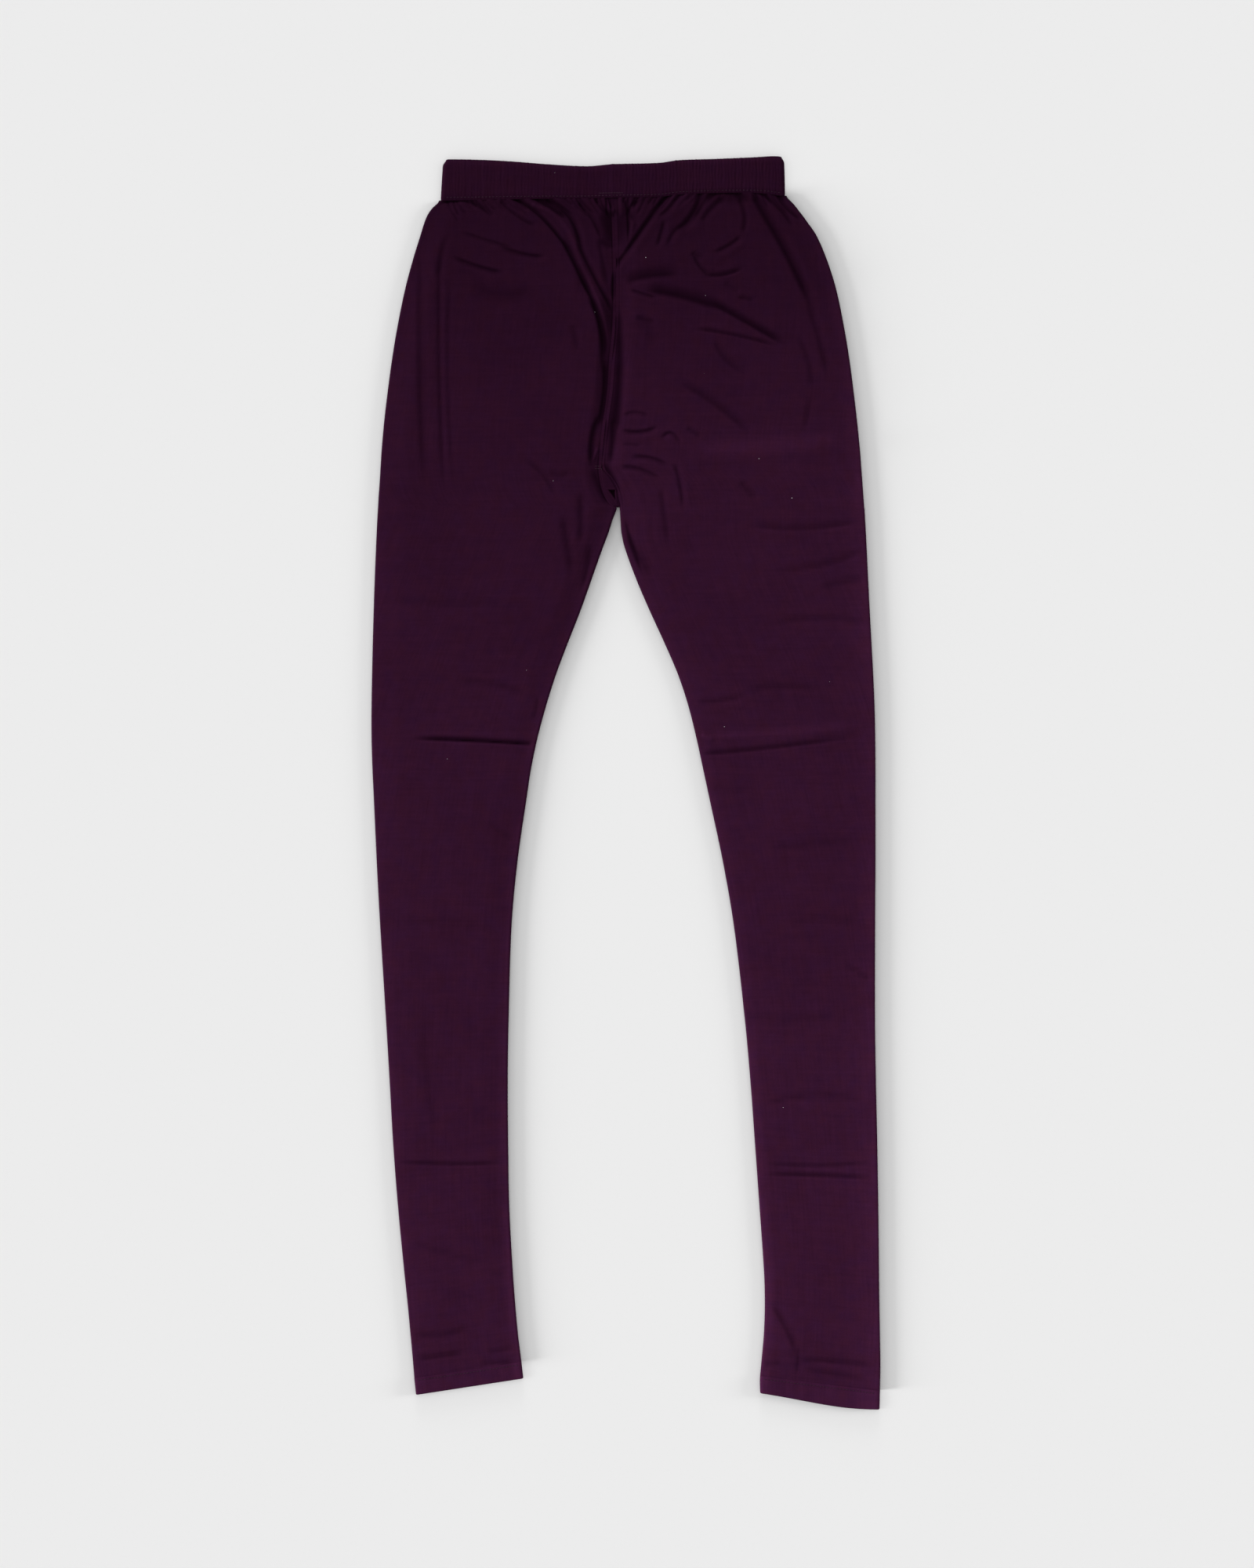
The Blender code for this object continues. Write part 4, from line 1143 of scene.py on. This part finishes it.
def sew(name, line, pitch):
    """A row of stitches along drawn points, evenly spaced."""
    line = np.array(line, dtype=float)
    steps = np.hypot(*np.diff(line, axis=0).T)
    length = np.concatenate([[0], steps.cumsum()])
    seats = []
    for distance in np.arange(pitch / 2, length[-1], pitch):
        x, down = (np.interp(distance, length, line[:, axis]) for axis in (0, 1))
        ahead_x, ahead_down = (np.interp(distance + AHEAD, length, line[:, axis]) for axis in (0, 1))
        seats.append(seat_on_cloth(x, down, ahead_x - x + TINY, ahead_down - down))
    return copies_on(name, stitch_points, stitch_faces, [seat for seat in seats if seat])


print(len(cloth_trees), "cloth surfaces to sew on")

# %% [markdown]
# ## Where it is sewn
# The casing is topstitched just above its seam, with a close bar of stitches at the centre
# where the elastic is caught. Two short bars hold the top of the gusset. Each hem is sewn
# round near its upper edge. All of these stitches are small, in a thread close to the dye.

# %% Stitched lines
BAND_STITCH_UP = 0.06
BAND_STITCH_PITCH = 3.1
HEM_STITCH_PITCH = 2.9
BAR_PITCH = 1.3
BAND_LINE_FROM, BAND_LINE_TO, BAND_LINE_POINTS = -158, 135, 90
HEM_LINE_FROM, HEM_LINE_POINTS = 0.03, 30

band_x = np.linspace(BAND_LINE_FROM, BAND_LINE_TO, BAND_LINE_POINTS)
band_seam = curve_value(BAND, "seam", band_x)
band_top = curve_value(BAND, "top", band_x)
band_line = np.stack([band_x, mix(band_seam, band_top, BAND_STITCH_UP)], axis=1)
band_stitches = sew("waistband_topstitch", band_line, BAND_STITCH_PITCH)
centre_bar = sew("waistband_bar", [(-23.5, 31.6), (-3.0, 31.4)], BAR_PITCH)
gusset_bar = sew("gusset_bar_upper", [(-27.0, 271.0), (-21.4, 271.0)], BAR_PITCH)
gusset_bar_low = sew("gusset_bar_lower", [(-27.0, 273.2), (-21.6, 273.2)], BAR_PITCH)


def hem_line(leg):
    """The hem's stitch line, from its inner end to its outer."""
    inner_down = mix(leg.line_inner, leg.end_inner, HEM_GROOVE_AT)
    outer_down = mix(leg.line_outer, leg.end_outer, HEM_GROOVE_AT)
    share = np.linspace(HEM_LINE_FROM, 1 - HEM_LINE_FROM, HEM_LINE_POINTS)
    x, down = mix(*leg_edges(leg, inner_down, outer_down), share), mix(inner_down, outer_down, share)
    return np.stack([x, down], axis=1)


right_hem_stitches = sew("right_hem_stitches", hem_line(RIGHT_LEG), HEM_STITCH_PITCH)
left_hem_stitches = sew("left_hem_stitches", hem_line(LEFT_LEG), HEM_STITCH_PITCH)

# %% [markdown]
# ## Lint
# A dark knit picks up pale fibres. Each speck is a small sphere roughened by moving its points
# at random, with a fixed seed, and flattened on to the cloth. Thirteen are placed where they
# are seen, the faint ones smaller.

# %% Lint specks
SPECKS = table(
    "x down size",
    (17.6, 88.3, 0.85),
    (-27.2, 135.9, 0.8),
    (70.0, 121.4, 0.55),
    (116.9, 264.8, 0.75),
    (145.9, 299.3, 0.85),
    (-87.2, 450.4, 0.55),
    (138.3, 834.5, 0.75),
    (-63.8, 284.2, 0.5),
    (-156.9, 528.3, 0.55),
    (86.6, 500.0, 0.7),
    (179.0, 460.7, 0.4),
    (68.6, 190.4, 0.25),
    (-62.4, 13.8, 0.5),
)
SPECK_RADIUS, SPECK_ROUGHNESS, SPECK_TURN = 0.36, 0.35, 2.0
SPECK_SHAPE = (1.25, 0.9, 0.6)


def model_speck():
    """A rough little tuft, as arrays of points and faces."""
    select_only()
    bpy.ops.mesh.primitive_ico_sphere_add(subdivisions=2, radius=SPECK_RADIUS * MM)
    speck = bpy.context.object
    bpy.ops.object.mode_set(mode="EDIT")
    bpy.ops.mesh.select_all(action="SELECT")
    bpy.ops.transform.vertex_random(offset=SPECK_RADIUS * MM * SPECK_ROUGHNESS, seed=5)
    bpy.ops.transform.resize(value=SPECK_SHAPE)
    bpy.ops.object.mode_set(mode="OBJECT")
    return take_model(speck)


speck_seats = [
    seat_on_cloth(speck.x, speck.down, cos(index * SPECK_TURN), sin(index * SPECK_TURN))
    for index, speck in enumerate(SPECKS)
]
lint = copies_on("lint_specks", *model_speck(), speck_seats, [speck.size for speck in SPECKS])

# %% [markdown]
# ## Writing materials as sums
# A procedural finish is arithmetic on a few patterns. Wiring each Math node by hand hides the
# sum, so a small class wraps a socket and lets Python's own signs add the nodes. The Finish
# class starts a material and makes any other kind of node in one call.

# %% Helpers for materials
class Signal:
    """A number or colour that comes out of a node. Python's signs on it add Math nodes."""

    def __init__(self, finish, socket):
        self.finish = finish
        self.socket = socket

    def maths(self, operation, *values):
        """A Math node on this and other values."""
        inputs = dict(enumerate((self, *values)))
        return self.finish.node("ShaderNodeMath", {"operation": operation}, inputs)

    def __add__(self, other):
        return self.maths("ADD", other)

    __radd__ = __add__

    def __sub__(self, other):
        return self.maths("SUBTRACT", other)

    def __rsub__(self, other):
        return (self * -1.0) + other

    def __mul__(self, other):
        return self.maths("MULTIPLY", other)

    __rmul__ = __mul__

    def __truediv__(self, other):
        return self.maths("DIVIDE", other)

    def fraction(self):
        return self.maths("FRACT")

    def absolute(self):
        return self.maths("ABSOLUTE")

    def sine(self):
        return self.maths("SINE")

    def limited(self, low=0.0, high=1.0):
        """This value, kept between two others."""
        return self.maths("MAXIMUM", low).maths("MINIMUM", high)


class Finish:
    """A procedural material, made one node at a time."""

    def __init__(self, name):
        self.material = bpy.data.materials.new(name)
        self.material.use_nodes = True
        self.tree = self.material.node_tree
        self.shader = self.tree.nodes["Principled BSDF"]

    def node(self, kind, settings=None, inputs=None, output=0):
        """A node with its settings, then its sockets' values or links. Returns one output."""
        made = self.tree.nodes.new(kind)
        for key, value in (settings or {}).items():
            setattr(made, key, value)
        for key, value in (inputs or {}).items():
            if isinstance(value, Signal):
                self.tree.links.new(value.socket, made.inputs[key])
            else:
                made.inputs[key].default_value = value
        return Signal(self, made.outputs[output])

    def object_place(self):
        """A point's place in metres."""
        return self.node("ShaderNodeTexCoord", {}, {}, "Object")

    def noise(self, place, scale, detail=2.0, stretch=(1.0, 1.0, 1.0)):
        """Noise at a place, stretched along its axes, from 0 to 1."""
        moved = self.node("ShaderNodeMapping", {}, {"Vector": place, "Scale": stretch})
        inputs = {"Vector": moved, "Scale": scale, "Detail": detail}
        return self.node("ShaderNodeTexNoise", {}, inputs, "Fac")

    def blend(self, first, second, share):
        """One colour mixed with another."""
        inputs = {0: share, 6: first, 7: second}
        settings = {"data_type": "RGBA", "clamp_factor": False}
        return self.node("ShaderNodeMix", settings, inputs, 2)

    def bump(self, strength, distance, height):
        """A relief too fine to model."""
        inputs = {"Strength": strength, "Distance": distance, "Height": height}
        self.feed("Normal", self.node("ShaderNodeBump", {}, inputs))

    def set(self, **values):
        """Values that are the same all over, straight on the shader."""
        for key, value in values.items():
            self.shader.inputs[key.replace("_", " ")].default_value = value

    def feed(self, socket, signal):
        """A pattern into one of the shader's sockets."""
        self.tree.links.new(signal.socket, self.shader.inputs[socket])


print("helpers for materials are ready")

# %% [markdown]
# ## The knit
# Single jersey shows columns of small V-shaped loops. They are finer than the render can draw
# whole, and still break up the light the right way, so they are bump on the cloth's own UV
# map. The dye varies a little from yarn to yarn, in faint lines along and across the cloth,
# and in broad soft patches. Creases are painted darker, as painted shade, and the legs are
# painted darker at the waist and lighter towards the ankles, as painted light.

# %% Knit finish
WALE, COURSE = 0.00078, 0.00060
LOOP_LEAN = 1.1
CREASE_LIGHTEST, CREASE_DARKEST = -0.3, 0.78
YARN_DARK = (0.0046, 0.0007, 0.0033, 1.0)
YARN_WARM = (0.0365, 0.0073, 0.0225, 1.0)
YARN_COOL = (0.0320, 0.0070, 0.0275, 1.0)


def knit_finish(name, crease_dark, sheen):
    """Jersey in the aubergine dye."""
    cloth = Finish(name)
    place = cloth.node("ShaderNodeUVMap", {"uv_map": "cloth"})
    solid = cloth.object_place()
    across = cloth.node("ShaderNodeSeparateXYZ", {}, {0: place}, "X")
    along = Signal(cloth, across.socket.node.outputs["Y"])
    shade = cloth.node("ShaderNodeAttribute", {"attribute_name": "shade"}, {}, "Fac")
    crease = cloth.node("ShaderNodeAttribute", {"attribute_name": "crease"}, {}, "Fac")

    column = (across / WALE).fraction()
    lean = (column - 0.5).absolute() * LOOP_LEAN
    bead = ((along / COURSE + lean) * (2 * pi)).sine() * 0.5 + 0.5
    ridge = ((column * 2.0).fraction() * pi).sine()
    loops = ridge * (bead * 0.5 + 0.5)

    patches = cloth.noise(solid, scale=11.0, detail=3.0)
    mottle = cloth.noise(solid, scale=130.0, detail=3.0)
    yarns = cloth.noise(place, scale=60.0, stretch=(9.0, 0.35, 1.0))
    rows = cloth.noise(place, scale=60.0, stretch=(0.4, 7.0, 1.0))
    fuzz = cloth.noise(place, scale=900.0, detail=1.0)
    uneven_dye = (patches - 0.5) * 0.4 + (mottle - 0.5) * 0.3 + (yarns - 0.5) * 0.35 + (rows - 0.5) * 0.3
    # The shade number carries painted light and shade; the crease number paints creases darker and ridges
    # lighter, as painted shade and highlight.
    tone = shade * (1.0 + uneven_dye)
    tone = tone * (1.0 - (crease * crease_dark).limited(CREASE_LIGHTEST, CREASE_DARKEST))
    tone = (tone * (0.9 + loops * 0.15 + (fuzz - 0.5) * 0.3)).limited(0.0, 2.0)
    hue = (0.5 + (cloth.noise(solid, scale=85.0, detail=3.0) - 0.5) * 1.8).limited()
    light_yarn = cloth.blend(YARN_WARM, YARN_COOL, hue)
    cloth.feed("Base Color", cloth.blend(YARN_DARK, light_yarn, tone))
    cloth.feed("Roughness", 0.86 + fuzz * 0.1)
    cloth.bump(strength=0.22, distance=0.0002, height=loops * 0.7 + fuzz * 0.5)
    cloth.set(Specular_IOR_Level=0.03, Specular_Tint=(1.0, 0.30, 0.80, 1.0))
    cloth.set(Sheen_Weight=sheen, Sheen_Roughness=0.45, Sheen_Tint=(0.80, 0.16, 0.58, 1.0))
    return cloth.material


knit = knit_finish("aubergine_jersey", crease_dark=0.36, sheen=0.03)
casing_knit = knit_finish("casing_jersey", crease_dark=0.45, sheen=0.03)
for piece in (right_leg, left_leg, gusset, right_hem, left_hem):
    piece.data.materials.append(knit)
waistband.data.materials.append(casing_knit)
print("knit finish on", len(knit.node_tree.nodes), "nodes")

# %% [markdown]
# ## Thread and lint
# Thread is two plies twisted together, so fine slanting ridges run round it. It has been dyed
# a little lighter than the cloth. Lint is pale raw fibre with no shine.

# %% Thread and lint finishes
THREAD_DARK = (0.016, 0.0036, 0.0115, 1.0)
THREAD_LIGHT = (0.034, 0.0082, 0.0245, 1.0)
LINT_DARK = (0.42, 0.36, 0.41, 1.0)
LINT_LIGHT = (0.74, 0.70, 0.73, 1.0)


def thread_finish():
    """Twisted sewing thread."""
    thread = Finish("spun_thread")
    place = thread.object_place()
    twist = thread.node(
        "ShaderNodeTexWave",
        {"bands_direction": "DIAGONAL"},
        {"Vector": place, "Scale": 900.0, "Distortion": 1.5},
        "Fac",
    )
    wear = thread.noise(place, scale=140.0)
    thread.feed("Base Color", thread.blend(THREAD_DARK, THREAD_LIGHT, twist * 0.5 + wear * 0.5))
    thread.bump(strength=0.4, distance=0.0001, height=twist)
    thread.feed("Roughness", 0.55 + wear * 0.2)
    thread.set(Specular_IOR_Level=0.2)
    return thread.material


def lint_finish():
    """Loose pale fibre."""
    fibre = Finish("pale_lint")
    strands = fibre.noise(fibre.object_place(), scale=2500.0, detail=3.0, stretch=(1.0, 0.3, 1.0))
    fibre.feed("Base Color", fibre.blend(LINT_DARK, LINT_LIGHT, strands))
    fibre.bump(strength=0.6, distance=0.0002, height=strands)
    fibre.feed("Roughness", 0.85 + strands * 0.1)
    fibre.set(Specular_IOR_Level=0.1)
    return fibre.material


thread = thread_finish()
sewing = [band_stitches, centre_bar, gusset_bar, gusset_bar_low, right_hem_stitches, left_hem_stitches]
for piece in sewing:
    piece.data.materials.append(thread)
lint.data.materials.append(lint_finish())
print("thread on", len(sewing), "rows of stitches")

# %% [markdown]
# ## Riding on the body
# Every piece rides on the one rigid body. Each cloth piece stands for its plain solid, which
# is hidden. A leg's cut, the flat size of its sheet before it was sewn, follows from the
# sections, twice its width at every height, front and back in one, and is printed.

# %% Rides and cuts
BODY = "root"
CUT_STEP = 1.0


def leg_cut(leg):
    """A leg's flat cut: its widest, its length and its area, in metres."""
    down = np.arange(LEG_TOP, (leg.line_inner + leg.line_outer) / 2, CUT_STEP)
    width = 2 * np.abs(curve_value(SECTIONS, leg.outer, down) - curve_value(SECTIONS, leg.inner, down))
    area = float(width.sum()) * CUT_STEP
    return (float(width.max()) * MM, float(down[-1] - down[0]) * MM), area * MM * MM


def declare(piece, node):
    """One cloth piece: it rides on the body, and its solid is hidden."""
    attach(piece, BODY)
    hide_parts(node)


for piece, slot in [(stitches, "thread") for stitches in sewing] + [(lint, "lint")]:
    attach(piece, BODY)

for piece, node, leg in ((right_leg, "right_leg", RIGHT_LEG), (left_leg, "left_leg", LEFT_LEG)):
    flat, area = leg_cut(leg)
    declare(piece, node)
    print(node, "cut", [round(v, 3) for v in flat], "m, area", round(area, 4), "m2")
declare(gusset, "crotch_gusset")
declare(waistband, "waistband")
declare(right_hem, "right_hem")
declare(left_hem, "left_hem")

# %% [markdown]
# ## Floor, light and camera
# The garment lies on a plain pale floor. Light comes evenly from all round, with a soft key
# from the upper left and a low light on the same side that rakes across the cloth and picks
# out the folds. Neither of them reaches the floor. Four low, wide lamps light it instead, so
# that the shadow beside each leg is broad and soft, as a studio's side lights draw it. The
# thick casing and hems lie flatter in the cloth than the legs do, so the casing stops none of
# these four, and the hems stop only three. The camera looks straight down through a long lens,
# from a height worked out from the picture's 2000 pixels of height.

# %% Floor
FLOOR_SIDE = 60.0
FLOOR_DROP = 0.15
select_only()
bpy.ops.mesh.primitive_plane_add(size=FLOOR_SIDE, location=(0, 0, -FLOOR_DROP * MM))
floor = bpy.context.object
floor.name = "studio_floor"
bpy.ops.object.transform_apply(location=True, rotation=False, scale=False)
paper = Finish("studio_paper")
grain = paper.noise(paper.object_place(), scale=300.0, detail=3.0)
PAPER_DARK = (0.892, 0.892, 0.892, 1.0)
PAPER_LIGHT = (0.902, 0.902, 0.902, 1.0)
paper.feed("Base Color", paper.blend(PAPER_DARK, PAPER_LIGHT, grain))
paper.set(Roughness=1.0, Specular_IOR_Level=0.0)
floor.data.materials.append(paper.material)
print("floor lies", FLOOR_DROP, "mm below the garment")

# %% Light
LAMPS = table(
    "name elevation azimuth share softness lights stopped_by",
    ("key_light", 48, 145, 0.36, 50, "all but floor", None),
    ("raking_light", 18, 145, 0.20, 22, "all but floor", None),
    ("floor_light_left", 9, 186, 0.24, 13, "floor", "all but ends"),
    ("floor_light_high", 24, 184, 0.08, 22, "floor", "all but casing"),
    ("floor_light_right", 12, 8, 0.10, 16, "floor", "all but casing"),
    ("floor_light_far", 11, 92, 0.04, 16, "floor", "all but casing"),
)
SKY_STRENGTH = 0.475


def lit_group(name, things, state):
    """A collection for a lamp, whose light or shadow works on some things alone or on all but them."""
    group = bpy.data.collections.new(name)
    for thing in things:
        group.objects.link(thing)
    for member in group.collection_objects:
        member.light_linking.link_state = state
    return group


groups = {
    "floor": lit_group("floor_only", [floor], "INCLUDE"),
    "all but floor": lit_group("all_but_floor", [floor], "EXCLUDE"),
    "all but casing": lit_group("all_but_casing", [waistband], "EXCLUDE"),
    "all but ends": lit_group("all_but_ends", [waistband, right_hem, left_hem], "EXCLUDE"),
}
for lamp in LAMPS:
    up, turn = radians(lamp.elevation), radians(lamp.azimuth)
    light = bpy.data.lights.new(lamp.name, "SUN")
    light.energy = lamp.share * pi / sin(up)
    light.angle = radians(lamp.softness)
    source = bpy.data.objects.new(lamp.name, light)
    towards = Vector((cos(up) * cos(turn), cos(up) * sin(turn), sin(up)))
    source.rotation_euler = towards.to_track_quat("Z", "Y").to_euler()
    source.light_linking.receiver_collection = groups[lamp.lights]
    if lamp.stopped_by:
        source.light_linking.blocker_collection = groups[lamp.stopped_by]
    bpy.context.scene.collection.objects.link(source)
world_light = bpy.data.worlds.new("studio_sky")
world_light.use_nodes = True
world_light.node_tree.nodes["Background"].inputs["Strength"].default_value = SKY_STRENGTH
world_light.node_tree.nodes["Background"].inputs["Color"].default_value = (1, 1, 1, 1)
bpy.context.scene.world = world_light
bpy.context.scene.view_settings.view_transform = "Standard"
print(len(LAMPS), "lamps and a pale sky")

# %% Camera
PICTURE_HEIGHT = 2000
DRAWN_MM_A_PIXEL = 0.68966
PICTURE_CENTRE = (0.00103, -0.00034)
LENS, SENSOR = 85.0, 36.0
camera_data = bpy.data.cameras.new("camera")
camera_data.lens = LENS
camera_data.sensor_width = SENSOR
camera = bpy.data.objects.new("camera", camera_data)
distance = PICTURE_HEIGHT * DRAWN_MM_A_PIXEL * MM * LENS / SENSOR
camera.location = (*PICTURE_CENTRE, distance)
bpy.context.scene.collection.objects.link(camera)
bpy.context.scene.camera = camera
print("camera stands", round(distance, 3), "m above the floor")

# %% [markdown]
# ## The end
# The scene is brought up to date. The dressed garment must stay in the frame's box, apart from
# what cloth may stand proud.

# %% Update the scene
bpy.context.view_layer.update()
